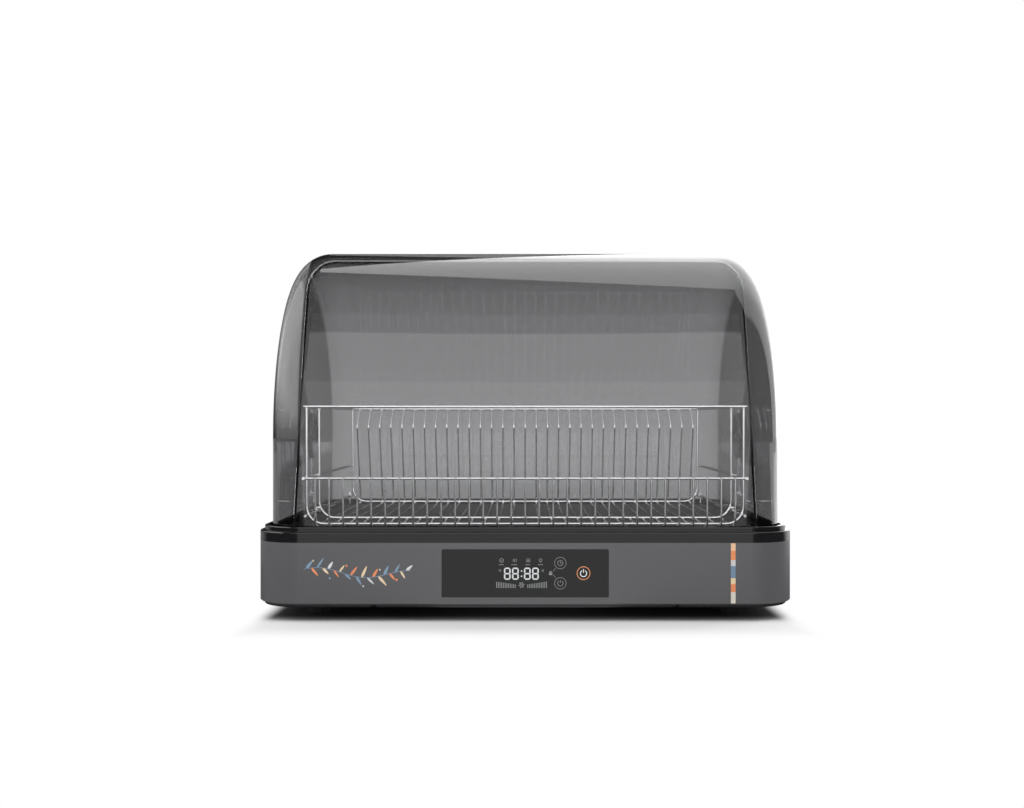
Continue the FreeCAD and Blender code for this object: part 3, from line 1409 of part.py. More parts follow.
def make_wheel():
    """The fan wheel: a plate with a hub, a ring of blades and a ring over their ends."""
    body = new_body("blower_wheel")
    profile = new_sketch(body, "profile", "XZ_Plane")
    outline(profile, [
        corner("shaft_radius", WHEEL_FOOT),
        corner("wheel_radius", WHEEL_FOOT),
        corner("wheel_radius", "%s + wheel_plate" % WHEEL_FOOT),
        corner("wheel_hub + 3", "%s + wheel_plate" % WHEEL_FOOT),
        corner("wheel_hub", "%s + hub_rise" % WHEEL_FOOT),
        corner("shaft_radius", "%s + hub_rise" % WHEEL_FOOT),
    ])
    turned(body, profile, "Z_Axis")
    ring = new_sketch(body, "ring", place="%s + wheel_height - wheel_plate" % WHEEL_FOOT)
    circle(ring, "0", "0", "wheel_radius")
    circle(ring, "0", "0", "wheel_radius - blade_length")
    blade = new_sketch(body, "blade", place="%s + wheel_plate / 2" % WHEEL_FOOT)
    middle = "wheel_radius - blade_length / 2"
    rectangle(blade, "blade_length - 1", "blade_thickness", None, middle, "0")
    first = pad(body, blade, "wheel_height - wheel_plate")
    around(body, first, "Z_Axis", "blade_count")
    pad(body, ring, "wheel_plate")
    node(at_fan(body), "blower_wheel")
    shaft = spun("motor_shaft", [
        corner("0", "scroll_foot - shaft_sunk"),
        corner("shaft_radius", "scroll_foot - shaft_sunk"),
        corner("shaft_radius", "%s + hub_rise + 2" % WHEEL_FOOT),
        corner("0", "%s + hub_rise + 2" % WHEEL_FOOT),
    ])
    node(at_fan(shaft), "motor_shaft")


def make_duct():
    """The square duct from the blower's mouth to the trough, with the heater inside it."""
    body = new_body("air_duct")
    start = "(fan_along + outlet_along)"
    length = "trough_front - %s" % start
    plan = new_sketch(body, "section", "XZ_Plane", "-" + start)
    rectangle(plan, MOUTH_WIDTH, "scroll_height", None, MOUTH_MIDDLE, DUCT_MIDDLE)
    across = "(%s - 2 * scroll_wall)" % MOUTH_WIDTH
    high = "(scroll_height - 2 * scroll_wall)"
    rectangle(plan, across, high, None, MOUTH_MIDDLE, DUCT_MIDDLE)
    pad(body, plan, length, downwards=True)
    node(body, "air_duct")
    heater = new_body("heater_block")
    bar = new_sketch(heater, "bar", "XZ_Plane", "-(heater_along + heater_depth / 2)")
    rectangle(bar, across, "heater_bar", None, MOUTH_MIDDLE, DUCT_MIDDLE)
    pad(heater, bar, "heater_depth")
    fin = new_sketch(heater, "fin", "XZ_Plane", "-(heater_along + heater_depth / 2)")
    left = "%s - (fin_count - 1) / 2 * fin_pitch" % MOUTH_MIDDLE
    rectangle(fin, "fin_thickness", high, None, left, DUCT_MIDDLE)
    first = pad(heater, fin, "heater_depth")
    repeat(heater, first, "X_Axis", "(fin_count - 1) * fin_pitch", "fin_count")
    node(heater, "heater_block")


# ---------------------------------------------------------------- control panel, boards and inlet
PANEL_BACK = "(body_depth / 2 - panel_thickness)"
PANEL_BOARD = "(%s - board_gap)" % PANEL_BACK


def make_panel():
    """The glass panel with the display and touch springs between it and its board."""
    glass = new_body("control_panel")
    face = new_sketch(glass, "face", "XZ_Plane", PANEL_BACK)
    rectangle(face, "panel_width", "panel_height", "panel_radius", "0", "panel_centre")
    pad(glass, face, "panel_thickness")
    node(glass, "control_panel")
    board = new_body("display_board")
    face = new_sketch(board, "face", "XZ_Plane", PANEL_BOARD)
    high = "2 * (key_rise + board_boss + board_edge / 2)"
    rectangle(face, "panel_width", high, None, "0", "panel_centre")
    pad(board, face, "board_thickness", downwards=True)
    node(board, "display_board")
    module = new_body("display_module")
    face = new_sketch(module, "face", "XZ_Plane", PANEL_BOARD)
    rectangle(face, "display_width", "display_height", None, "-display_across", "panel_centre")
    pad(module, face, "board_gap - seat_gap")
    node(module, "display_module")
    springs = []
    for across, up in (
        ("key_across", "panel_centre - key_rise"),
        ("key_across", "panel_centre + key_rise"),
        ("power_across", "panel_centre"),
    ):
        spring = new_body("spring")
        ring = new_sketch(spring, "ring", "XZ_Plane", PANEL_BOARD)
        circle(ring, across, up, "key_radius")
        circle(ring, across, up, "key_radius - spring_wall")
        pad(spring, ring, "board_gap")
        springs.append(spring)
    group("touch_springs", springs)


def make_main_board():
    """The power board on its bosses, and the larger components that stand on it."""
    body = new_body("main_board")
    plan = new_sketch(body, "plan", place=BOARD_FOOT)
    width = "board_left - board_right + 2 * board_edge"
    depth = "board_front + board_back + 2 * board_edge"
    across = "(-(board_left + board_right) / 2)"
    along = "((board_back - board_front) / 2)"
    rectangle(plan, width, depth, "board_edge / 2", across, along)
    pad(body, plan, "board_thickness")
    node(body, "main_board")
    top = "%s + board_thickness" % BOARD_FOOT
    pieces = []
    for name, across_middle, along_middle in (
        ("transformer", "-transformer_across", "transformer_along"),
        ("relay", "relay_across", "relay_along"),
        ("relay", "relay_across", "relay_along + relay_pitch"),
        ("terminal", "-terminal_across", "-terminal_along"),
    ):
        pieces.append(box(
            name, "%s + %s" % (across, across_middle), "%s + %s" % (along, along_middle), top,
            name + "_length", name + "_width", name + "_height",
        ))
    for further in ("0", "capacitor_pitch"):
        can = new_body("capacitor")
        ring = new_sketch(can, "ring", place=top)
        circle(ring, across + " + capacitor_across", "%s + capacitor_along + %s" % (along, further),
               "capacitor_radius")
        pad(can, ring, "capacitor_height")
        pieces.append(can)
    group("board_components", pieces)


def make_inlet():
    """The appliance inlet in the back wall, with its three pins."""
    body = new_body("power_inlet")
    face = new_sketch(body, "flange", "XZ_Plane", "-body_depth / 2")
    rectangle(face, "inlet_width", "inlet_height", "inlet_corner", "-inlet_across", "inlet_centre")
    pad(body, face, "wall / 2")
    shell = new_sketch(body, "shell", "XZ_Plane", "-body_depth / 2")
    across = "(inlet_width - 2 * inlet_lip)"
    high = "(inlet_height - 2 * inlet_lip)"
    rectangle(shell, across, high, "inlet_corner", "-inlet_across", "inlet_centre")
    pad(body, shell, "inlet_depth")
    socket = new_sketch(body, "socket", "XZ_Plane", "-body_depth / 2")
    across = "(%s - 2 * inlet_wall)" % across
    high = "(%s - 2 * inlet_wall)" % high
    left = "-inlet_across - %s / 2" % across
    right = "-inlet_across + %s / 2" % across
    low = "inlet_centre - %s / 2" % high
    top = "inlet_centre + %s / 2" % high
    outline(socket, [
        corner(left, low),
        corner(right, low),
        corner(right, "%s - 2 * inlet_corner" % top),
        corner("%s - 2 * inlet_corner" % right, top),
        corner("%s + 2 * inlet_corner" % left, top),
        corner(left, "%s - 2 * inlet_corner" % top),
    ])
    pocket(body, socket, "socket_depth", upwards=True)
    node(body, "power_inlet")
    pins = []
    for x, z in (("-blade_gap", "-pin_width / 2"), ("0", "pin_width / 2"), ("blade_gap", "-pin_width / 2")):
        pin = new_body("pin")
        tip = new_sketch(pin, "tip", "XZ_Plane", "-(body_depth / 2 - socket_depth)")
        spot = ("-inlet_across + %s" % x, "inlet_centre + %s" % z)
        rectangle(tip, "pin_thickness", "pin_width", None, *spot)
        pad(pin, tip, "pin_length", downwards=True)
        pins.append(pin)
    group("inlet_pins", pins)


def make_bumpers():
    """Soft pads in the channel that the front cover closes on."""
    pieces = []
    along = "-(cover_reach - cover_wall / 2)"
    height = "cover_lift - seat_gap"
    for across in ("-bumper_across", "bumper_across"):
        pieces.append(box("bumper", across, along, CHANNEL_FLOOR,
                          "bumper_length", "2 * cover_wall", height))
    group("cover_bumpers", pieces)


# ---------------------------------------------------------------- the whole appliance
def build():
    make_base_housing()
    make_bottom_pan()
    make_deck()
    make_front_cover()
    make_rear_cover()
    make_hinges()
    make_screws()
    make_rubber_feet()
    make_drip_tray()
    make_frame("rack_front_frame", "-rack_front")
    make_frame("rack_middle_frame", "-rack_middle")
    make_frame("rack_back_frame", "rack_back")
    make_rails()
    make_plate_wires()
    make_rack_feet()
    make_grille()
    make_trough()
    make_lamp()
    make_ballast()
    make_blower()
    make_wheel()
    make_duct()
    make_panel()
    make_main_board()
    make_inlet()
    make_bumpers()
    doc.recompute()


def check():
    """Stop before anything is written if a feature failed or a sub-part isn't sound."""
    failed = [o.Label for o in doc.Objects if "Invalid" in o.State or "Error" in o.State]
    if failed:
        raise RuntimeError("failed: " + ", ".join(failed))
    for item in nodes:
        if item.Shape.isNull() or not item.Shape.isValid() or not item.Shape.Solids:
            raise RuntimeError("unsound: " + item.Label)


build()
check()
os.makedirs("parts", exist_ok=True)
for item in nodes:
    item.Shape.exportStep("parts/%s.step" % item.Label)
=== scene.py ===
import bpy
import math
import random
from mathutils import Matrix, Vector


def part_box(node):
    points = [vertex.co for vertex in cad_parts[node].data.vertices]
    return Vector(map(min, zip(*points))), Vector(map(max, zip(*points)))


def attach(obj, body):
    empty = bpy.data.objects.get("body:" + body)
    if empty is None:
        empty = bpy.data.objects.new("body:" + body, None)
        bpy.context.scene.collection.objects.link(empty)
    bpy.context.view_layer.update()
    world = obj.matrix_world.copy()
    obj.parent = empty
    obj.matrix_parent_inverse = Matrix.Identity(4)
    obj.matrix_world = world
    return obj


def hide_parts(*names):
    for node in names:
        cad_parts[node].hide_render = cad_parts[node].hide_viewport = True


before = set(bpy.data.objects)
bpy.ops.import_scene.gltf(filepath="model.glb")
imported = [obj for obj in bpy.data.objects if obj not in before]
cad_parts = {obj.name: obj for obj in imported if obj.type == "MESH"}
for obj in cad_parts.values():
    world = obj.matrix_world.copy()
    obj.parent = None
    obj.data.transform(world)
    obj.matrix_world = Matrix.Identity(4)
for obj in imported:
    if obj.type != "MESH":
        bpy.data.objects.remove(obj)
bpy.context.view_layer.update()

MM = 0.001


# ---------------------------------------------------------------- stage
# A worktop in front of a plain white studio wall, and a camera level with the middle of the hood.
# Gloss mirrors a bright window in front, a soft box at the left, a tall white sail over the back
# and a dim room between them.
CAMERA_AT = (0.0, -1.441, 0.2014)
LENS = 43.4
WALL_WHITE = (1.0, 1.0, 1.0, 1.0)

camera_data = bpy.data.cameras.new("studio_camera")
camera_data.lens = LENS
camera_data.shift_x = -0.0129
camera_data.shift_y = 0.0137
camera_data.clip_start = 0.01
camera = bpy.data.objects.new("studio_camera", camera_data)
camera.location = CAMERA_AT
camera.rotation_euler = (math.radians(90), 0, 0)
bpy.context.scene.collection.objects.link(camera)
bpy.context.scene.camera = camera
bpy.context.scene.view_settings.view_transform = "Standard"


def add_node(tree, kind, **values):
    """A shader node with some of its inputs or settings given by name."""
    node = tree.nodes.new(kind)
    for key, value in values.items():
        label = key.replace("_", " ").title()
        if label in node.inputs:
            node.inputs[label].default_value = value
        else:
            setattr(node, key, value)
    return node


def calculate(tree, operation, first, second=None, third=None, clamp=False):
    """A Math node on numbers or sockets; gives its output socket."""
    node = tree.nodes.new("ShaderNodeMath")
    node.operation = operation
    node.use_clamp = clamp
    for index, value in enumerate((first, second, third)):
        if value is None:
            continue
        if isinstance(value, (int, float)):
            node.inputs[index].default_value = value
        else:
            tree.links.new(value, node.inputs[index])
    return node.outputs[0]


def ramp_between(tree, value, low, high):
    """0 at low and 1 at high, smooth between."""
    node = add_node(
        tree, "ShaderNodeMapRange", interpolation_type="SMOOTHSTEP", from_min=low, from_max=high
    )
    tree.links.new(value, node.inputs["Value"])
    return node.outputs["Result"]


def falls_between(tree, value, low, high):
    """1 at low and 0 at high, smooth between."""
    return calculate(tree, "SUBTRACT", 1.0, ramp_between(tree, value, low, high))


def beyond_edge(tree, vector, edge, softness):
    """1 on one side of a straight edge that is given by its normal, 0 on the other."""
    side = add_node(tree, "ShaderNodeVectorMath", operation="DOT_PRODUCT")
    tree.links.new(vector, side.inputs[0])
    side.inputs[1].default_value = edge
    return ramp_between(tree, side.outputs["Value"], -softness, softness)


def times(tree, *factors):
    """The product of several values."""
    product = factors[0]
    for factor in factors[1:]:
        product = calculate(tree, "MULTIPLY", product, factor)
    return product


def plus(tree, *parts):
    """The sum of several values."""
    total = parts[0]
    for part in parts[1:]:
        total = calculate(tree, "ADD", total, part)
    return total


def level_between(tree, factor, base, more):
    """A base level, and so much more where the factor is 1."""
    return calculate(tree, "MULTIPLY_ADD", factor, more, base)


def seen_straight(tree, rays):
    """1 for what the camera sees directly or through the hood."""
    straight, through = rays.outputs["Is Camera Ray"], rays.outputs["Is Transmission Ray"]
    return calculate(tree, "MAXIMUM", straight, through)


def seen_under_hood(tree, rays):
    """1 for a mirror image on something under the hood: such a ray has come in through a wall."""
    return calculate(tree, "GREATER_THAN", rays.outputs["Transmission Depth"], 1.5)


# Where the soft edges of the mirrored lamps start and end, as shares of a ray's direction. The
# window has uprights (sideways over forward), a foot, a bright lower part and a head.
PANE_EDGE, PANE_FOOT = (0.38, 0.46), (0.02, 0.1)
PANE_BRIGHT, PANE_HEAD = (0.53, 0.555), (0.895, 0.912)
# The sail has three edges, each with a normal and a softness, and is brighter at its far end.
SAIL_EDGES = (
    ((0.727, 0.636, -0.259), 0.006),
    ((0.937, -0.161, 0.312), 0.006),
    ((-0.344, 0.897, 0.278), 0.05),
)
SAIL_FAR_END = (0.72, 0.86)
BOX_INNER, BOX_FOOT, BOX_BACK, BOX_BRIGHT = (-0.53, -0.48), (-0.06, 0.3), (0.6, 0.72), (-0.1, 0.6)
NEAR_FOOT, NEAR_BRIGHT = (0.12, 0.3), (0.0, 0.5)
FRONT_LIFT, LIFTED = 0.35, (-0.3, 0.1)
DIM_ROOM, ROOM_LIGHT, PLAIN_WHITE = 0.03, 0.78, 1.0

room = bpy.data.worlds.new("studio_room")
room.use_nodes = True
bpy.context.scene.world = room
sky = room.node_tree
sky.nodes.clear()
direction = add_node(sky, "ShaderNodeTexCoord").outputs["Generated"]
axes = add_node(sky, "ShaderNodeSeparateXYZ")
sky.links.new(direction, axes.inputs[0])
across, along, up = axes.outputs[0], axes.outputs[1], axes.outputs[2]
rays = add_node(sky, "ShaderNodeLightPath")


def window_width(tree, side, front):
    """1 inside the window's two upright edges; side and front are measured from the cabinet."""
    toward_front = calculate(tree, "MAXIMUM", calculate(tree, "MULTIPLY", front, -1.0), 0.001)
    sideways = calculate(tree, "DIVIDE", calculate(tree, "ABSOLUTE", side), toward_front)
    between_edges = falls_between(tree, sideways, *PANE_EDGE)
    inside = times(tree, between_edges, ramp_between(tree, toward_front, *PANE_FOOT))
    return inside, toward_front


# a window in front, brighter in its lower part
pane, _ = window_width(sky, across, along)
pane_level = level_between(sky, falls_between(sky, up, *PANE_BRIGHT), base=1.25, more=0.5)
window = times(sky, pane, falls_between(sky, up, *PANE_HEAD), pane_level)
# a tall sail of white cloth over the back, with its low corner at the left
sail_shape = times(sky, *[beyond_edge(sky, direction, *edge) for edge in SAIL_EDGES])
under_hood = seen_under_hood(sky, rays)
in_the_open = calculate(sky, "SUBTRACT", 1.0, under_hood)
sail_level = level_between(sky, ramp_between(sky, along, *SAIL_FAR_END), base=1.6, more=0.6)
sail = times(sky, sail_shape, in_the_open, sail_level)
# a soft box at the left
box_shape = times(
    sky,
    falls_between(sky, across, *BOX_INNER),
    ramp_between(sky, up, *BOX_FOOT),
    falls_between(sky, along, *BOX_BACK),
)
box_level = level_between(sky, falls_between(sky, along, *BOX_BRIGHT), base=1.2, more=2.1)
soft_box = times(sky, box_shape, box_level)
# what lies under the hood is near its own bright lamps, which reach lower in front
forward = falls_between(sky, along, *NEAR_BRIGHT)
lifted = level_between(sky, falls_between(sky, along, *LIFTED), base=up, more=FRONT_LIFT)
near_level = level_between(sky, forward, base=1.1, more=2.9)
near_lamps = times(sky, under_hood, ramp_between(sky, lifted, *NEAR_FOOT), near_level)
seen_in_gloss = plus(sky, window, sail, soft_box, near_lamps, DIM_ROOM)
# light on matt things is plain, gloss mirrors the lamps, and the camera sees white
level = add_node(sky, "ShaderNodeMix", data_type="FLOAT")
sky.links.new(rays.outputs["Is Glossy Ray"], level.inputs[0])
level.inputs[2].default_value = ROOM_LIGHT
sky.links.new(seen_in_gloss, level.inputs[3])
shown = add_node(sky, "ShaderNodeMix", data_type="FLOAT")
sky.links.new(seen_straight(sky, rays), shown.inputs[0])
sky.links.new(level.outputs[0], shown.inputs[2])
shown.inputs[3].default_value = PLAIN_WHITE
backdrop = add_node(sky, "ShaderNodeBackground")
backdrop.inputs["Color"].default_value = WALL_WHITE
sky.links.new(shown.outputs[0], backdrop.inputs["Strength"])
out = add_node(sky, "ShaderNodeOutputWorld")
sky.links.new(backdrop.outputs[0], out.inputs["Surface"])


def mesh_piece(name, points, faces):
    """A mesh object from its corners, in millimetres."""
    mesh = bpy.data.meshes.new(name)
    mesh.from_pydata([(x * MM, y * MM, z * MM) for x, y, z in points], [], faces)
    mesh.update()
    piece = bpy.data.objects.new(name, mesh)
    bpy.context.scene.collection.objects.link(piece)
    return piece


WORKTOP_REACH = 9000
HALF_WIDTH, HALF_DEPTH = 0.27, 0.222
# the shadow ends, and the painted shade between the feet ends, so far past the cabinet's sides and
# front
SHADOW_SIDE, SHADOW_FRONT = (-0.018, 0.008), (0.03, 0.10)
PAINTED_SHADE_SIDE, PAINTED_SHADE_FRONT = (-0.02, 0.004), (-0.045, 0.01)
# the worktop's own white, and the dark grey of the painted shade between the feet
TOP_SHADE, FEET_PAINTED_SHADE = 0.93, 0.13
top_corners = [(-1, -1), (1, -1), (1, 1), (-1, 1)]
worktop = mesh_piece(
    "worktop",
    [(side * WORKTOP_REACH, end * WORKTOP_REACH, 0) for side, end in top_corners],
    [(0, 1, 2, 3)],
)
white_top = bpy.data.materials.new("worktop_white")
white_top.use_nodes = True
top_tree = white_top.node_tree
top_tree.nodes.clear()
top_rays = add_node(top_tree, "ShaderNodeLightPath")
top_place = add_node(top_tree, "ShaderNodeSeparateXYZ")
top_tree.links.new(add_node(top_tree, "ShaderNodeTexCoord").outputs["Object"], top_place.inputs[0])
top_x, top_y = top_place.outputs[0], top_place.outputs[1]


def mix_shaders(tree, factor, first, second):
    """The first shader where the factor is 0, the second where it is 1."""
    mix = add_node(tree, "ShaderNodeMixShader")
    tree.links.new(factor, mix.inputs[0])
    tree.links.new(first.outputs[0], mix.inputs[1])
    tree.links.new(second.outputs[0], mix.inputs[2])
    return mix


# how far a place is from the foot of the cabinet
past_side = calculate(top_tree, "SUBTRACT", calculate(top_tree, "ABSOLUTE", top_x), HALF_WIDTH)
past_front = calculate(top_tree, "SUBTRACT", calculate(top_tree, "ABSOLUTE", top_y), HALF_DEPTH)
past_shadow = calculate(
    top_tree,
    "MAXIMUM",
    ramp_between(top_tree, past_side, *SHADOW_SIDE),
    ramp_between(top_tree, past_front, *SHADOW_FRONT),
)
# painted shade: the worktop's colour is made darker between the feet, where hardly any light comes
painted_shade_between_feet = times(
    top_tree,
    falls_between(top_tree, past_side, *PAINTED_SHADE_SIDE),
    falls_between(top_tree, past_front, *PAINTED_SHADE_FRONT),
)
top_matt = add_node(top_tree, "ShaderNodeBsdfDiffuse")
# the worktop's colour: white, with painted shade between the feet
top_colour_with_painted_shade = level_between(top_tree, painted_shade_between_feet, TOP_SHADE, FEET_PAINTED_SHADE - TOP_SHADE)
top_tree.links.new(top_colour_with_painted_shade, top_matt.inputs["Color"])
top_far = add_node(top_tree, "ShaderNodeEmission", strength=PLAIN_WHITE)
top_seen = mix_shaders(top_tree, past_shadow, top_matt, top_far)
# gloss mirrors the worktop's lit part before the window and its back corners
top_pane, top_front = window_width(top_tree, top_x, top_y)
top_window = times(
    top_tree,
    top_pane,
    calculate(top_tree, "ADD", 0.75, ramp_between(top_tree, top_front, 0.9, 4.5)),
    level_between(top_tree, seen_under_hood(top_tree, top_rays), base=1.0, more=2.2),
)
top_corner = times(
    top_tree,
    ramp_between(top_tree, past_side, 0.25, 0.6),
    ramp_between(top_tree, top_y, 0.0, 0.3),
    level_between(top_tree, ramp_between(top_tree, top_x, -0.1, 0.1), base=0.4, more=0.8),
)
top_gloss = add_node(top_tree, "ShaderNodeEmission")
top_tree.links.new(plus(top_tree, top_window, top_corner, 0.04), top_gloss.inputs["Strength"])
top_other = mix_shaders(top_tree, top_rays.outputs["Is Glossy Ray"], top_matt, top_gloss)
top_all = mix_shaders(top_tree, seen_straight(top_tree, top_rays), top_other, top_seen)
top_out = add_node(top_tree, "ShaderNodeOutputMaterial")
top_tree.links.new(top_all.outputs[0], top_out.inputs["Surface"])
worktop.data.materials.append(white_top)


def studio_lamp(name, place, aim, size, power):
    """A soft lamp that points at a place, in metres. Gloss doesn't mirror it."""
    lamp = bpy.data.lights.new(name, "AREA")
    lamp.shape = "RECTANGLE"
    lamp.size, lamp.size_y = size
    lamp.energy = power
    holder = bpy.data.objects.new(name, lamp)
    holder.location = place
    toward = [aim[i] - place[i] for i in range(3)]
    pitch = math.acos(-toward[2] / math.hypot(*toward))
    turn = math.atan2(toward[1], toward[0]) - math.pi / 2
    holder.rotation_euler = (pitch, 0, turn)
    bpy.context.scene.collection.objects.link(holder)
    holder.visible_camera = False
    holder.visible_glossy = False


studio_lamp("key_lamp", (0.3, -1.1, 1.9), aim=(0, 0, 0.1), size=(1.2, 0.8), power=11)
studio_lamp("left_lamp", (-1.5, 0.1, 0.5), aim=(0, 0, 0.25), size=(0.5, 1.1), power=3.5)
studio_lamp("right_lamp", (1.4, 0.3, 0.7), aim=(0, 0, 0.3), size=(0.5, 0.9), power=4)


# ---------------------------------------------------------------- feet and screws
# Four soft rubber feet, each held by a screw in its well, and the long case screws that go up
# through the pan and the posts of the wall into the deck. Zinc-plated steel, dull from handling.
def new_material(name):
    """A node material with its Principled shader; gives the tree and the shader."""
    material = bpy.data.materials.new(name)
    material.use_nodes = True
    tree = material.node_tree
    shader = tree.nodes["Principled BSDF"]
    return material, tree, shader


def texture_space(tree, scale=(1.0, 1.0, 1.0)):
    """Object coordinates in metres, times a scale for each axis."""
    mapping = add_node(tree, "ShaderNodeMapping", scale=scale)
    tree.links.new(add_node(tree, "ShaderNodeTexCoord").outputs["Object"], mapping.inputs["Vector"])
    return mapping.outputs["Vector"]


def paint(material, *names):
    """Give CAD nodes a material."""
    for name in names:
        for material_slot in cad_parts[name].material_slots:
            material_slot.material = material


def new_group(name, inputs, outputs):
    """An empty shader group; inputs are (name, kind, value) and outputs (name, kind)."""
    group = bpy.data.node_groups.new(name, "ShaderNodeTree")
    for label, kind, value in inputs:
        socket = group.interface.new_socket(label, in_out="INPUT", socket_type=kind)
        socket.default_value = value
    for label, kind in outputs:
        group.interface.new_socket(label, in_out="OUTPUT", socket_type=kind)
    entry = group.nodes.new("NodeGroupInput")
    leave = group.nodes.new("NodeGroupOutput")
    return group, entry.outputs, leave.inputs


def place_group(tree, group, **values):
    """The group as a node of a material, with this material's own values."""
    return add_node(tree, "ShaderNodeGroup", node_tree=group, **values)


# Handling: faint smears and fine dust that change how rough a surface is.
handling, given, result = new_group(
    "handling_marks",
    [
        ("Base Roughness", "NodeSocketFloat", 0.3),
        ("Smear Depth", "NodeSocketFloat", 0.08),
        ("Smear Size", "NodeSocketFloat", 9.0),
        ("Speck Depth", "NodeSocketFloat", 0.05),
    ],
    [("Roughness", "NodeSocketFloat"), ("Dust", "NodeSocketFloat")],
)
space = texture_space(handling)
smear = add_node(handling, "ShaderNodeTexNoise", detail=4.0, roughness=0.62, distortion=0.8)
handling.links.new(space, smear.inputs["Vector"])
handling.links.new(given["Smear Size"], smear.inputs["Scale"])
speck = add_node(handling, "ShaderNodeTexVoronoi", scale=420.0, randomness=1.0)
handling.links.new(space, speck.inputs["Vector"])
centred = calculate(handling, "SUBTRACT", smear.outputs["Fac"], 0.5)
base, depth = given["Base Roughness"], given["Smear Depth"]
smeared = calculate(handling, "MULTIPLY_ADD", centred, depth, base)
dots = falls_between(handling, speck.outputs["Distance"], 0.05, 0.16)
patches = ramp_between(handling, smear.outputs["Fac"], 0.5, 0.7)
dust = calculate(handling, "MULTIPLY", dots, patches)
rough = calculate(handling, "MULTIPLY_ADD", dust, given["Speck Depth"], smeared, clamp=True)
handling.links.new(rough, result["Roughness"])
handling.links.new(dust, result["Dust"])

# Moulding: the fine even grain of a spark-eroded mould.
mould_grain, given, result = new_group(
    "mould_grain",
    [("Grain Size", "NodeSocketFloat", 900.0), ("Grain Depth", "NodeSocketFloat", 0.5)],
    [("Height", "NodeSocketFloat"), ("Shade", "NodeSocketFloat")],
)
space = texture_space(mould_grain)
coarse = add_node(mould_grain, "ShaderNodeTexNoise", detail=3.0, roughness=0.7)
mould_grain.links.new(space, coarse.inputs["Vector"])
mould_grain.links.new(given["Grain Size"], coarse.inputs["Scale"])
height = calculate(mould_grain, "MULTIPLY", coarse.outputs["Fac"], given["Grain Depth"])
mould_grain.links.new(height, result["Height"])
cloud = add_node(mould_grain, "ShaderNodeTexNoise", scale=14.0, detail=2.0)
mould_grain.links.new(space, cloud.inputs["Vector"])
mould_grain.links.new(cloud.outputs["Fac"], result["Shade"])


def shade_between(tree, factor, dark, light):
    """A colour between two by a factor."""
    mix = tree.nodes.new("ShaderNodeMix")
    mix.data_type = "RGBA"
    mix.inputs[6].default_value = (*dark, 1)
    mix.inputs[7].default_value = (*light, 1)
    tree.links.new(factor, mix.inputs[0])
    return mix.outputs[2]


def moulded(name, dark, light, roughness, grain_depth, bump_mm, grain_size=900.0, smear=0.1):
    """A moulded plastic or rubber: two near shades, fine grain and handling marks."""
    material, tree, shader = new_material(name)
    grain = place_group(tree, mould_grain, Grain_Size=grain_size, Grain_Depth=grain_depth)
    marks = place_group(tree, handling, Base_Roughness=roughness, Smear_Depth=smear)
    shade = shade_between(tree, grain.outputs["Shade"], dark, light)
    tree.links.new(shade, shader.inputs["Base Color"])
    tree.links.new(marks.outputs["Roughness"], shader.inputs["Roughness"])
    bump = add_node(tree, "ShaderNodeBump", distance=bump_mm * MM, strength=0.6)
    tree.links.new(grain.outputs["Height"], bump.inputs["Height"])
    tree.links.new(bump.outputs[0], shader.inputs["Normal"])
    return material


foot_rubber = moulded(
    "foot_rubber", (0.022, 0.022, 0.023), (0.034, 0.034, 0.035),
    roughness=0.62, grain_depth=1.0, bump_mm=0.05,
)
paint(foot_rubber, "rubber_feet")


def bright_metal(name, dark, light, roughness, brush=(60.0, 900.0, 900.0), smear=0.12):
    """A metal with fine drawn or brushed lines along its first axis."""
    material, tree, shader = new_material(name)
    shader.inputs["Metallic"].default_value = 1.0
    lines = add_node(tree, "ShaderNodeTexNoise", scale=1.0, detail=3.0)
    tree.links.new(texture_space(tree, brush), lines.inputs["Vector"])
    marks = place_group(
        tree, handling, Base_Roughness=roughness, Smear_Depth=smear, Smear_Size=30.0
    )
    shade = shade_between(tree, lines.outputs["Fac"], dark, light)
    tree.links.new(shade, shader.inputs["Base Color"])
    tree.links.new(marks.outputs["Roughness"], shader.inputs["Roughness"])
    bump = add_node(tree, "ShaderNodeBump", distance=0.01 * MM, strength=0.5)
    tree.links.new(lines.outputs["Fac"], bump.inputs["Height"])
    tree.links.new(bump.outputs[0], shader.inputs["Normal"])
    return material


zinc_steel = bright_metal("zinc_steel", (0.42, 0.42, 0.43), (0.58, 0.58, 0.57), roughness=0.34)
paint(zinc_steel, "foot_screws", "cover_screws", "hinge_screws", "motor_shaft", "touch_springs")
black_steel = bright_metal(
    "black_steel", (0.020, 0.020, 0.021), (0.035, 0.035, 0.036), roughness=0.42
)
paint(black_steel, "case_screws")


# ---------------------------------------------------------------- bottom pan
# A dark pan of filled polypropylene with air slots under the blower. It is matt and slightly dusty.
pan_plastic = moulded(
    "pan_plastic", (0.016, 0.016, 0.017), (0.024, 0.024, 0.025),
    roughness=0.55, grain_depth=1.0, bump_mm=0.06,
)
paint(pan_plastic, "bottom_pan", "outlet_grille", "lamp_ballast", "power_inlet")


# ---------------------------------------------------------------- grey wall
# The ring of the base, moulded in a cool grey with a satin face. Its lower edge is bevelled.
wall_grey = moulded(
    "wall_grey", (0.094, 0.094, 0.099), (0.104, 0.104, 0.110),
    roughness=0.36, grain_depth=0.7, bump_mm=0.03, grain_size=1300.0,
)
paint(wall_grey, "base_housing")


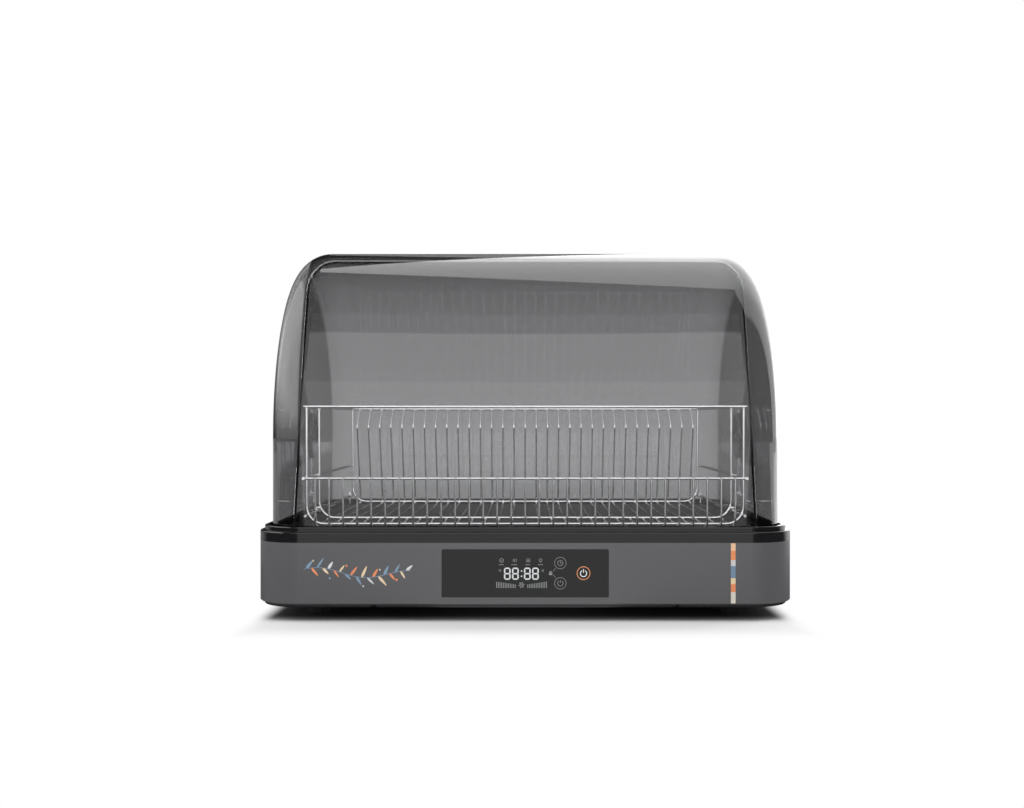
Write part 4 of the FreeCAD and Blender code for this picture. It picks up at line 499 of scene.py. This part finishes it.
# ---------------------------------------------------------------- deck
# The gloss black top: a narrow band over the grey wall and a raised flange round the hood's foot.
# Polished mould, so it mirrors the room; fine dust gathers in the channel.
def glossy(name, dark, light, roughness):
    """A polished plastic with dust and the faint waves of a moulding."""
    material, tree, shader = new_material(name)
    marks = place_group(tree, handling, Base_Roughness=roughness, Smear_Depth=0.05, Speck_Depth=0.1)
    waves = add_node(tree, "ShaderNodeTexNoise", scale=18.0, detail=1.0)
    tree.links.new(texture_space(tree), waves.inputs["Vector"])
    shade = shade_between(tree, marks.outputs["Dust"], dark, light)
    tree.links.new(shade, shader.inputs["Base Color"])
    tree.links.new(marks.outputs["Roughness"], shader.inputs["Roughness"])
    bump = add_node(tree, "ShaderNodeBump", distance=0.15 * MM, strength=0.25)
    tree.links.new(waves.outputs["Fac"], bump.inputs["Height"])
    tree.links.new(bump.outputs[0], shader.inputs["Normal"])
    return material


deck_black = glossy("deck_black", (0.010, 0.010, 0.011), (0.05, 0.05, 0.05), roughness=0.10)
paint(deck_black, "deck", "cover_bumpers")


# ---------------------------------------------------------------- touch panel
# A dark glass plate in its recess. The signs are printed on it in light grey and the power key in
# orange; they light up from the display and the key lamps behind.
panel_black = glossy("panel_black", (0.006, 0.006, 0.006), (0.02, 0.02, 0.02), roughness=0.08)
paint(panel_black, "control_panel")

PRINT_PROUD = 0.03
PANEL_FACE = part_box("control_panel")[0][1] / MM - PRINT_PROUD


def printed(name, shapes, material, face=PANEL_FACE, body="root"):
    """A print on the front: closed outlines of (x, z) in millimetres, filled."""
    points = []
    faces = []
    for shape in shapes:
        faces.append(tuple(range(len(points), len(points) + len(shape))))
        points += [(x, face, z) for x, z in shape]
    piece = mesh_piece(name, points, faces)
    piece.data.materials.append(material)
    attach(piece, body)
    return piece


def dot(x, z, radius, sides=20):
    """A round spot, as a polygon."""
    angles = [2 * math.pi * k / sides for k in range(sides)]
    return [(x + radius * math.cos(a), z + radius * math.sin(a)) for a in angles]


def bar(left, low, right, high):
    """A rectangle by its edges."""
    return [(left, low), (right, low), (right, high), (left, high)]


def stroke(start, end, width):
    """A straight line of some width between two points."""
    run, rise = end[0] - start[0], end[1] - start[1]
    length = math.hypot(run, rise)
    side = (-rise / length * width / 2, run / length * width / 2)
    return [
        (start[0] - side[0], start[1] - side[1]),
        (end[0] - side[0], end[1] - side[1]),
        (end[0] + side[0], end[1] + side[1]),
        (start[0] + side[0], start[1] + side[1]),
    ]


def arc(x, z, radius, width, first=0, last=360, steps=36):
    """A round line, as short pieces."""
    shapes = []
    for k in range(steps):
        a = math.radians(first + (last - first) * k / steps)
        b = math.radians(first + (last - first) * (k + 1) / steps)
        inner, outer = radius - width / 2, radius + width / 2
        shapes.append([
            (x + inner * math.cos(a), z + inner * math.sin(a)),
            (x + outer * math.cos(a), z + outer * math.sin(a)),
            (x + outer * math.cos(b), z + outer * math.sin(b)),
            (x + inner * math.cos(b), z + inner * math.sin(b)),
        ])
    return shapes


def lit_ink(name, colour, glow):
    """A print that is lit from behind."""
    material, tree, shader = new_material(name)
    shader.inputs["Base Color"].default_value = (*colour, 1)
    shader.inputs["Roughness"].default_value = 0.4
    flicker = add_node(tree, "ShaderNodeTexNoise", scale=260.0, detail=1.0)
    tree.links.new(texture_space(tree), flicker.inputs["Vector"])
    dim = tuple(0.82 * c for c in colour)
    shade = shade_between(tree, flicker.outputs["Fac"], dim, colour)
    tree.links.new(shade, shader.inputs["Emission Color"])
    shader.inputs["Emission Strength"].default_value = glow
    return material


digit_white = lit_ink("digit_white", (0.52, 0.54, 0.55), glow=0.5)
sign_grey = lit_ink("sign_grey", (0.20, 0.205, 0.21), glow=0.36)
key_orange = lit_ink("key_orange", (0.48, 0.18, 0.08), glow=0.4)
key_white = lit_ink("key_white", (0.62, 0.63, 0.63), glow=0.6)

DIGIT_WIDE, DIGIT_HIGH, STEM, HAIRLINE = 6.6, 12.0, 1.35, 0.16
DIGIT_FOOT, DIGIT_LEFTS = 41.7, (-21.0, -13.0, -1.2, 6.8)
COLON_X, COLON_LEVELS, COLON_RADIUS = -3.6, (50.3, 45.2), 0.75


def segment(x1, z1, x2, z2):
    """One bar of a digit with pointed ends."""
    half = STEM / 2
    if abs(x2 - x1) > abs(z2 - z1):
        return [
            (x1, z1), (x1 + half, z1 - half), (x2 - half, z1 - half),
            (x2, z1), (x2 - half, z1 + half), (x1 + half, z1 + half),
        ]
    return [
        (x1, z1), (x1 + half, z1 + half), (x1 + half, z2 - half),
        (x1, z2), (x1 - half, z2 - half), (x1 - half, z1 + half),
    ]


def eight(left, low):
    """The seven bars of an eight, with hairline gaps."""
    x1, x2 = left + STEM / 2, left + DIGIT_WIDE - STEM / 2
    z1, z3 = low + STEM / 2, low + DIGIT_HIGH - STEM / 2
    z2 = (z1 + z3) / 2
    lying = [segment(x1 + HAIRLINE, z, x2 - HAIRLINE, z) for z in (z1, z2, z3)]
    upright = [
        segment(x, foot + HAIRLINE, x, head - HAIRLINE)
        for x in (x1, x2) for foot, head in ((z1, z2), (z2, z3))
    ]
    return lying + upright


digits = []
for left in DIGIT_LEFTS:
    digits += eight(left, DIGIT_FOOT)
digits += [dot(COLON_X, z, COLON_RADIUS) for z in COLON_LEVELS]
printed("clock_digits", digits, digit_white)

# the row of programme signs over the clock: a plate, drops, waves of warm air and a lamp, each
# with a dashed rule under it
PLATE_X, DROPS_X, WAVES_X, LAMP_X = -23.4, -10.6, 2.9, 15.2
SIGN_LINE, RULE_LOW, RULE_HIGH, RULE_DASHES = 0.5, 56.2, 57.0, 4
signs = arc(PLATE_X, 60.8, 1.9, SIGN_LINE, steps=18) + [bar(-24.3, 60.55, -22.5, 61.05)]
for shift in (-1.5, 0.0, 1.5):
    signs += [stroke((DROPS_X + shift, 59.2), (DROPS_X + shift + 0.5, 62.4), SIGN_LINE)]
signs += [bar(0.9, low, 4.9, low + SIGN_LINE) for low in (59.2, 61.9, 60.5)]
signs += arc(LAMP_X, 61.1, 1.4, SIGN_LINE, steps=16) + [bar(14.5, 58.9, 15.9, 59.4)]
for x, half in ((PLATE_X, 2.3), (DROPS_X, 3.0), (WAVES_X, 2.4), (LAMP_X, 2.6)):
    step = 2 * half / RULE_DASHES
    for k in range(RULE_DASHES):
        signs.append(bar(x - half + k * step, RULE_LOW, x - half + (k + 0.7) * step, RULE_HIGH))

# two stairs of level bars that fall towards the fan sign, and a small ring at each side of the
# clock
STAIR_BARS, STAIR_PITCH, STAIR_STEP, STAIR_BAR = 12, 1.68, 0.24, 0.75
STAIR_FOOT, STAIR_HEAD, LEFT_STAIR, RIGHT_STAIR = 33.6, 39.8, -28.6, 20.6
RING_PLACES, RING_RADIUS, RING_LINE = ((-24.9, 50.8), (17.4, 50.8)), 0.9, 0.45
for k in range(STAIR_BARS):
    for x in (LEFT_STAIR + k * STAIR_PITCH, RIGHT_STAIR - k * STAIR_PITCH):
        signs.append(bar(x, STAIR_FOOT, x + STAIR_BAR, STAIR_HEAD - k * STAIR_STEP))
for place in RING_PLACES:
    signs += arc(*place, RING_RADIUS, RING_LINE, steps=12)
FAN_X, FAN_Z, FAN_BLADES = -3.65, 36.6, 6
for k in range(FAN_BLADES):
    a = math.radians(360 / FAN_BLADES * k)
    signs.append([
        (FAN_X + reach * math.cos(a + sweep), FAN_Z + reach * math.sin(a + sweep))
        for reach, sweep in ((0.9, 0.0), (3.4, 0.0), (2.2, 0.7))
    ])
signs += arc(FAN_X, FAN_Z, 0.75, 0.4, steps=12)
printed("panel_signs", signs, sign_grey)

# two round keys with a clock and a power sign, and a lock between them that thin lines join to both
KEY_X, TIMER_Z, START_Z, KEY_RADIUS = 34.7, 58.2, 38.2, 5.7
KEY_LINE, JOIN_LINE = 0.42, 0.35
keys = arc(KEY_X, TIMER_Z, KEY_RADIUS, KEY_LINE) + arc(KEY_X, START_Z, KEY_RADIUS, KEY_LINE)
keys += arc(KEY_X, TIMER_Z, 2.6, 0.45, steps=24)
keys += [bar(34.45, 58.1, 34.95, 60.0), bar(34.6, 57.95, 36.2, 58.4)]
keys += arc(KEY_X, START_Z, 2.7, 0.5, 125, 415, 24) + [bar(34.45, 38.6, 34.95, 41.4)]
keys += [bar(23.5, 46.3, 26.7, 48.9)] + arc(25.1, 49.0, 1.2, 0.5, 0, 180, 12)
keys += [stroke((27.6, 50.0), (30.2, 53.2), JOIN_LINE)]
keys += [stroke((27.6, 46.6), (30.2, 43.4), JOIN_LINE)]
printed("touch_key_signs", keys, sign_grey)

POWER_X, POWER_Z = 57.6, 48.2
printed("power_ring", arc(POWER_X, POWER_Z, 6.35, 0.9, steps=48), key_orange)
power_sign = arc(POWER_X, 47.9, 3.1, 0.75, 118, 422, 36) + [bar(57.25, 48.6, 57.95, 52.3)]
printed("power_sign", power_sign, key_white)


# ---------------------------------------------------------------- coloured stripe
# A printed film strip down the right of the wall, in warm and blue-grey bands of uneven length.
FILM_PROUD = 0.05
WALL_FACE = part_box("base_housing")[0][1] / MM - FILM_PROUD
STRIPE_LEFT, STRIPE_RIGHT = 203.1, 207.7


def soft_ink(name, colour, spread=0.14):
    """A screen print: the colour varies a little, as ink does."""
    material, tree, shader = new_material(name)
    cloud = add_node(tree, "ShaderNodeTexNoise", scale=160.0, detail=3.0)
    tree.links.new(texture_space(tree), cloud.inputs["Vector"])
    dark = tuple(c * (1 - spread) for c in colour)
    light = tuple(min(1.0, c * (1 + spread)) for c in colour)
    shade = shade_between(tree, cloud.outputs["Fac"], dark, light)
    tree.links.new(shade, shader.inputs["Base Color"])
    shader.inputs["Roughness"].default_value = 0.42
    return material


stripe_bands = [
    ("peach", (0.80, 0.50, 0.32), 77.7, 70.5),
    ("orange", (0.80, 0.27, 0.10), 70.5, 61.2),
    ("pale_grey", (0.60, 0.60, 0.60), 61.2, 55.2),
    ("blue_grey", (0.16, 0.25, 0.36), 55.2, 43.3),
    ("cream", (0.80, 0.62, 0.36), 43.3, 37.4),
    ("deep_orange", (0.78, 0.25, 0.10), 37.4, 29.5),
    ("cream_grey", (0.66, 0.62, 0.54), 29.5, 18.3),
]
for tone, colour, top, low in stripe_bands:
    band = [bar(STRIPE_LEFT, low, STRIPE_RIGHT, top)]
    printed("stripe_" + tone, band, soft_ink("stripe_" + tone, colour), WALL_FACE)


# ---------------------------------------------------------------- leaf garland
# A small printed garland at the left of the wall: a thin bending stem, brush-like leaves and dots.
GARLAND_LEFT, GARLAND_RIGHT, GARLAND_LEVEL = -219.0, -113.0, 50.0
STEM_PIECES, STEM_WIDTH = 60, 0.55
BEND_HIGH, BEND_TURN, BEND_START, STEM_FALL = 4.2, 7.4, 0.5, 3.5
LEAF_COUNT, LEAF_PITCH, LEAF_CORNERS, LEAF_TAPER = 19, 5.5, 20, 0.55
# what varies from leaf to leaf and from berry to berry
LEAF_LEAN, LEAF_LONG, LEAF_WIDE = (38, 66), (8.0, 12.5), (2.6, 3.8)
BERRY_FAR, BERRY_RADIUS = (6.5, 9.5), (0.7, 1.15)

garland_inks = [
    soft_ink("garland_blue", (0.22, 0.33, 0.46), spread=0.25),
    soft_ink("garland_orange", (0.80, 0.28, 0.12), spread=0.2),
    soft_ink("garland_cream", (0.78, 0.62, 0.42), spread=0.2),
    soft_ink("garland_white", (0.72, 0.72, 0.72), spread=0.15),
]


def stem_height(x):
    """The stem's height above the table along the wall."""
    part = (x - GARLAND_LEFT) / (GARLAND_RIGHT - GARLAND_LEFT)
    return GARLAND_LEVEL + BEND_HIGH * math.sin(part * BEND_TURN + BEND_START) - STEM_FALL * part


def leaf(x, z, length, width, angle):
    """A brush dab: blunt at one end and drawn out at the other."""
    outline = []
    for k in range(LEAF_CORNERS):
        t = k / LEAF_CORNERS * 2 * math.pi
        u = 0.5 - 0.5 * math.cos(t)
        v = math.sin(t) * (1 - LEAF_TAPER * u) * width / 2
        du = u * length
        outline.append((
            x + du * math.cos(angle) - v * math.sin(angle),
            z + du * math.sin(angle) + v * math.cos(angle),
        ))
    return outline


blue, orange, cream, white = range(4)
garland = [[], [], [], []]
chance = random.Random(11)
stem_step = (GARLAND_RIGHT - GARLAND_LEFT) / STEM_PIECES
for k in range(STEM_PIECES):
    x = GARLAND_LEFT + (GARLAND_RIGHT - GARLAND_LEFT) * k / STEM_PIECES
    stem_end = (x + stem_step, stem_height(x + stem_step))
    garland[blue].append(stroke((x, stem_height(x)), stem_end, STEM_WIDTH))
for k in range(LEAF_COUNT):
    x = GARLAND_LEFT + 2.5 + k * LEAF_PITCH
    z = stem_height(x)
    upward = k % 2 == 0
    lean = math.radians(chance.uniform(*LEAF_LEAN))
    angle = lean if upward else -lean
    length = chance.uniform(*LEAF_LONG)
    ink = (blue, orange, blue, cream, white, orange, cream)[k % 7]
    garland[ink].append(leaf(x, z, length, chance.uniform(*LEAF_WIDE), angle))
    if k % 3 == 1:
        side = -1 if upward else 1
        far = chance.uniform(*BERRY_FAR)
        berry = dot(x + 1.5, z + side * far, chance.uniform(*BERRY_RADIUS))
        garland[(ink + 1) % len(garland)].append(berry)
for ink, shapes, tone in zip(garland_inks, garland, ("blue", "orange", "cream", "white")):
    printed("garland_" + tone, shapes, ink, WALL_FACE)


# ---------------------------------------------------------------- works inside the base
# Boards, blower, heater and lamp. Green boards, black moulded parts, bright sheet, a clear tube.
board_green = moulded(
    "board_green", (0.012, 0.07, 0.03), (0.02, 0.10, 0.045),
    roughness=0.42, grain_depth=0.3, bump_mm=0.02,
)
paint(board_green, "main_board", "display_board")
works_black = moulded(
    "works_black", (0.014, 0.014, 0.014), (0.03, 0.03, 0.03),
    roughness=0.5, grain_depth=1.0, bump_mm=0.04,
)
paint(works_black, "blower_housing", "blower_lid", "blower_wheel", "air_duct")
paint(works_black, "board_components", "display_module")
bright_sheet = bright_metal(
    "bright_sheet", (0.62, 0.62, 0.63), (0.78, 0.78, 0.78), roughness=0.22
)
paint(bright_sheet, "lamp_trough", "lamp_caps", "heater_block", "blower_motor")
pin_brass = bright_metal("pin_brass", (0.60, 0.42, 0.16), (0.74, 0.56, 0.26), roughness=0.28)
paint(pin_brass, "inlet_pins")
holder_white = moulded(
    "holder_white", (0.62, 0.62, 0.60), (0.72, 0.72, 0.70),
    roughness=0.4, grain_depth=0.4, bump_mm=0.02,
)
paint(holder_white, "lamp_holders")
tube_glass, tree, shader = new_material("tube_glass")
shader.inputs["Base Color"].default_value = (0.86, 0.90, 0.98, 1)
shader.inputs["Transmission Weight"].default_value = 1.0
shader.inputs["IOR"].default_value = 1.47
marks = place_group(tree, handling, Base_Roughness=0.06, Smear_Depth=0.05)
tree.links.new(marks.outputs["Roughness"], shader.inputs["Roughness"])
paint(tube_glass, "uv_lamp")


# ---------------------------------------------------------------- drip tray
# A shallow ribbed tray of dark satin plastic, moulded in one piece. It lies loose in the deck's
# seat and catches the water.
tray_dark = glossy("tray_dark", (0.012, 0.012, 0.013), (0.04, 0.04, 0.04), roughness=0.45)
tray_dark.node_tree.nodes["Principled BSDF"].inputs["Specular IOR Level"].default_value = 0.04
paint(tray_dark, "drip_tray")


# ---------------------------------------------------------------- wire rack
# Drawn stainless wire, bent and spot welded: frames and rails of 3 mm, plate wires of 2.2 mm.
# The solids have flat-sided wires, so round ones of the same width take their place.
RAIL_RADIUS, PLATE_RADIUS = 1.5, 1.1
POST_X, FRONT_Y, MIDDLE_Y, BACK_Y = 224.7, -170.0, -93.0, 170.0
TOP_Z, MID_Z, LOW_Z, FLOOR_Z, FRAME_Z = 213.0, 139.4, 101.0, 89.9, 92.5
FRAME_BEND, BEND_STEP = 18, 0.16


def unit_between(start, end):
    """The direction from one place to another, of length 1."""
    run = [end[i] - start[i] for i in range(3)]
    return [v / math.hypot(*run) for v in run]


def bent_run(corners):
    """Points along a wire: straight runs between corners (x, y, z, bend radius)."""
    line = [corners[0][:3]]
    for before, here, after in zip(corners, corners[1:], corners[2:]):
        radius = here[3]
        to_back, to_next = unit_between(here, before), unit_between(here, after)
        cosine = sum(a * b for a, b in zip(to_back, to_next))
        angle = math.acos(max(-1.0, min(1.0, cosine)))
        setback = radius / math.tan(angle / 2)
        start = [here[i] + to_back[i] * setback for i in range(3)]
        middle = [to_back[i] + to_next[i] for i in range(3)]
        reach = radius / math.sin(angle / 2) / math.hypot(*middle)
        centre = [here[i] + middle[i] * reach for i in range(3)]
        turn = math.pi - angle
        first = [(start[i] - centre[i]) / radius for i in range(3)]
        steps = max(4, int(turn / BEND_STEP))
        for k in range(steps + 1):
            cos, sin = math.cos(turn * k / steps), math.sin(turn * k / steps)
            line.append([
                centre[i] + radius * (first[i] * cos - to_back[i] * sin) for i in range(3)
            ])
    line.append(corners[-1][:3])
    return line


def wire_work(name, lines, radius, material, *solids, facets=3, cut_ends=True):
    """Round runs through points (x, y, z) as one piece; a fourth number swells a point."""
    curve = bpy.data.curves.new(name, "CURVE")
    curve.dimensions = "3D"
    curve.bevel_depth = radius * MM
    curve.bevel_resolution = facets
    curve.use_fill_caps = cut_ends
    for line in lines:
        run = curve.splines.new("POLY")
        run.points.add(len(line) - 1)
        for point, place in zip(run.points, line):
            point.co = (place[0] * MM, place[1] * MM, place[2] * MM, 1)
            point.radius = place[3] if len(place) > 3 else 1.0
        run.use_smooth = True
    piece = bpy.data.objects.new(name, curve)
    bpy.context.scene.collection.objects.link(piece)
    curve.materials.append(material)
    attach(piece, "dish_rack")
    if solids:
        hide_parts(*solids)


FINE_DRAWN, WELD_SCALE = (300.0, 300.0, 300.0), (700.0, 700.0, 700.0)
rack_steel = bright_metal(
    "rack_steel", (0.78, 0.78, 0.78), (0.88, 0.88, 0.87),
    roughness=0.14, brush=FINE_DRAWN, smear=0.06,
)

frames = []
for y in (FRONT_Y, MIDDLE_Y, BACK_Y):
    frames.append(bent_run([
        (-POST_X, y, TOP_Z - RAIL_RADIUS), (-POST_X, y, FRAME_Z, FRAME_BEND),
        (POST_X, y, FRAME_Z, FRAME_BEND), (POST_X, y, TOP_Z - RAIL_RADIUS),
    ]))
frame_solids = ("rack_front_frame", "rack_middle_frame", "rack_back_frame")
wire_work("rack_frames", frames, RAIL_RADIUS, rack_steel, *frame_solids)

# the rails lie against the frames' faces, one wire further out
RAIL_WIDTH = 2 * RAIL_RADIUS
RAIL_X, LOW_X = POST_X + RAIL_WIDTH, 225.53
FRONT_TOP_END, BACK_TOP_END, FRONT_MID_END = 228.1, 223.2, 226.2
SIDE_START, SIDE_END = FRONT_Y - 5.0, BACK_Y + RAIL_RADIUS
FOOT_Z, FOOT_BEND = 88.8, 2.5
rails = [
    [(-FRONT_TOP_END, FRONT_Y, TOP_Z), (FRONT_TOP_END, FRONT_Y, TOP_Z)],
    [(-BACK_TOP_END, BACK_Y, TOP_Z), (BACK_TOP_END, BACK_Y, TOP_Z)],
    [(end, FRONT_Y - RAIL_WIDTH, MID_Z) for end in (-FRONT_MID_END, FRONT_MID_END)],
]
for side in (-1, 1):
    rails.append([(side * POST_X, FRONT_Y + RAIL_RADIUS, TOP_Z), (side * POST_X, SIDE_END, TOP_Z)])
    rails.append([(side * RAIL_X, SIDE_START, MID_Z), (side * RAIL_X, SIDE_END, MID_Z)])
    rails.append([(side * LOW_X, SIDE_START, LOW_Z), (side * LOW_X, SIDE_END, LOW_Z)])
    outer, inner = side * (LOW_X + RAIL_WIDTH), side * (LOW_X - RAIL_WIDTH)
    hook_z = LOW_Z + RAIL_WIDTH
    for y in (MIDDLE_Y - RAIL_WIDTH, BACK_Y - RAIL_WIDTH):
        rails.append(bent_run([
            (outer, y, FOOT_Z), (outer, y, hook_z, FOOT_BEND), (inner, y, hook_z),
        ]))
rail_solids = ("rack_top_rails", "rack_mid_rails", "rack_low_rails", "rack_feet")
wire_work("rack_rails", rails, RAIL_RADIUS, rack_steel, *rail_solids)

# each plate wire runs down in front, back over the floor, and up with a lean and a kink
PLATE_COUNT, PLATE_PITCH = 31, 14.35
PLATE_FRONT_Y, PLATE_BACK_Y, PLATE_BEND = -175.6, 177.24, 4.1
KINK, KINK_BEND, PLATE_TIP = (142.0, 191.0), 6, (168.77, 212.05)
plate_places = [(k - (PLATE_COUNT - 1) / 2) * PLATE_PITCH for k in range(PLATE_COUNT)]
plates = []
for x in plate_places:
    plates.append(bent_run([
        (x, PLATE_FRONT_Y, MID_Z), (x, PLATE_FRONT_Y, FLOOR_Z, PLATE_BEND),
        (x, PLATE_BACK_Y, FLOOR_Z, PLATE_BEND), (x, *KINK, KINK_BEND), (x, *PLATE_TIP),
    ]))
plate_solids = ("rack_front_wires", "rack_floor_wires", "rack_back_wires")
wire_work("plate_wires", plates, PLATE_RADIUS, rack_steel, *plate_solids)

# a resistance weld leaves a small flat bead at a crossing, a little dull and straw-coloured
weld_steel = bright_metal(
    "weld_steel", (0.50, 0.48, 0.44), (0.70, 0.68, 0.64), roughness=0.3, brush=WELD_SCALE
)
BEAD_RADIUS, BEAD_FLAT, POST_BEAD = 1.45, 0.9, 1.25
BEAD_SHAPE = ((-1.7, 0.1), (-1.1, 0.72), (0.0, 1.0), (1.1, 0.72), (1.7, 0.1))
WELD_DEPTH, POST_WELD_DEPTH = 1.3, 1.2
crossings = []
for x in plate_places:
    crossings.append((x, PLATE_FRONT_Y + WELD_DEPTH, MID_Z, 1))
    crossings += [(x, y, FRAME_Z - WELD_DEPTH, 1) for y in (FRONT_Y, MIDDLE_Y, BACK_Y)]
    crossings.append((x, *PLATE_TIP, 1))
for side in (-1, 1):
    for y in (FRONT_Y, MIDDLE_Y):
        crossings.append((side * POST_X, y, TOP_Z - POST_WELD_DEPTH, POST_BEAD))
        crossings.append((side * (POST_X + RAIL_RADIUS), y, MID_Z, POST_BEAD))
beads = [
    [(x + shift * swell, y, z, reach * swell * BEAD_FLAT) for shift, reach in BEAD_SHAPE]
    for x, y, z, swell in crossings
]
wire_work("weld_beads", beads, BEAD_RADIUS, weld_steel, facets=2, cut_ends=False)


# ---------------------------------------------------------------- hood
# Two nesting arches of smoky clear plastic, 3 mm thick. The rear one is screwed to the deck by tabs
# and the front one turns on the two hubs. The smoke is in the plastic, so thick edges look darker.
HOOD_INDEX, LOOSE_TINT = 1.49, (0.88, 0.88, 0.89, 1)


def smoky_clear(name, tint, density, roughness):
    """Clear plastic with smoke in it; shadows, soft light and mirror images pass it unbent."""
    material, tree, shader = new_material(name)
    shader.inputs["Base Color"].default_value = (*tint, 1)
    shader.inputs["Transmission Weight"].default_value = 1.0
    shader.inputs["IOR"].default_value = HOOD_INDEX
    marks = place_group(
        tree, handling, Base_Roughness=roughness, Smear_Depth=0.004, Speck_Depth=0.0
    )
    tree.links.new(marks.outputs["Roughness"], shader.inputs["Roughness"])
    through = add_node(tree, "ShaderNodeBsdfTransparent", color=LOOSE_TINT)
    paths = add_node(tree, "ShaderNodeLightPath").outputs
    soft = calculate(tree, "MAXIMUM", paths["Is Shadow Ray"], paths["Is Diffuse Ray"])
    gloss, inside = paths["Is Glossy Ray"], paths["Is Transmission Ray"]
    mirrored = calculate(tree, "SUBTRACT", gloss, inside, clamp=True)
    choice = mix_shaders(tree, calculate(tree, "MAXIMUM", soft, mirrored), shader, through)
    surface = tree.nodes["Material Output"]
    tree.links.new(choice.outputs[0], surface.inputs["Surface"])
    smoke = add_node(tree, "ShaderNodeVolumeAbsorption", color=(0, 0, 0, 1), density=density)
    tree.links.new(smoke.outputs[0], surface.inputs["Volume"])
    return material


hood_clear = smoky_clear("hood_clear", (0.71, 0.71, 0.72), density=155.0, roughness=0.0)
paint(hood_clear, "front_cover", "rear_cover")
# the hubs and their caps are thick, with less smoke in them
hub_clear = smoky_clear("hub_clear", (0.55, 0.55, 0.56), density=60.0, roughness=0.05)
paint(hub_clear, "hinge_hubs", "hinge_caps")
# soft washers let the front half turn quietly on the hubs
washer_black = moulded(
    "washer_black", (0.02, 0.02, 0.02), (0.03, 0.03, 0.03),
    roughness=0.6, grain_depth=0.5, bump_mm=0.03,
)
paint(washer_black, "hinge_washers")
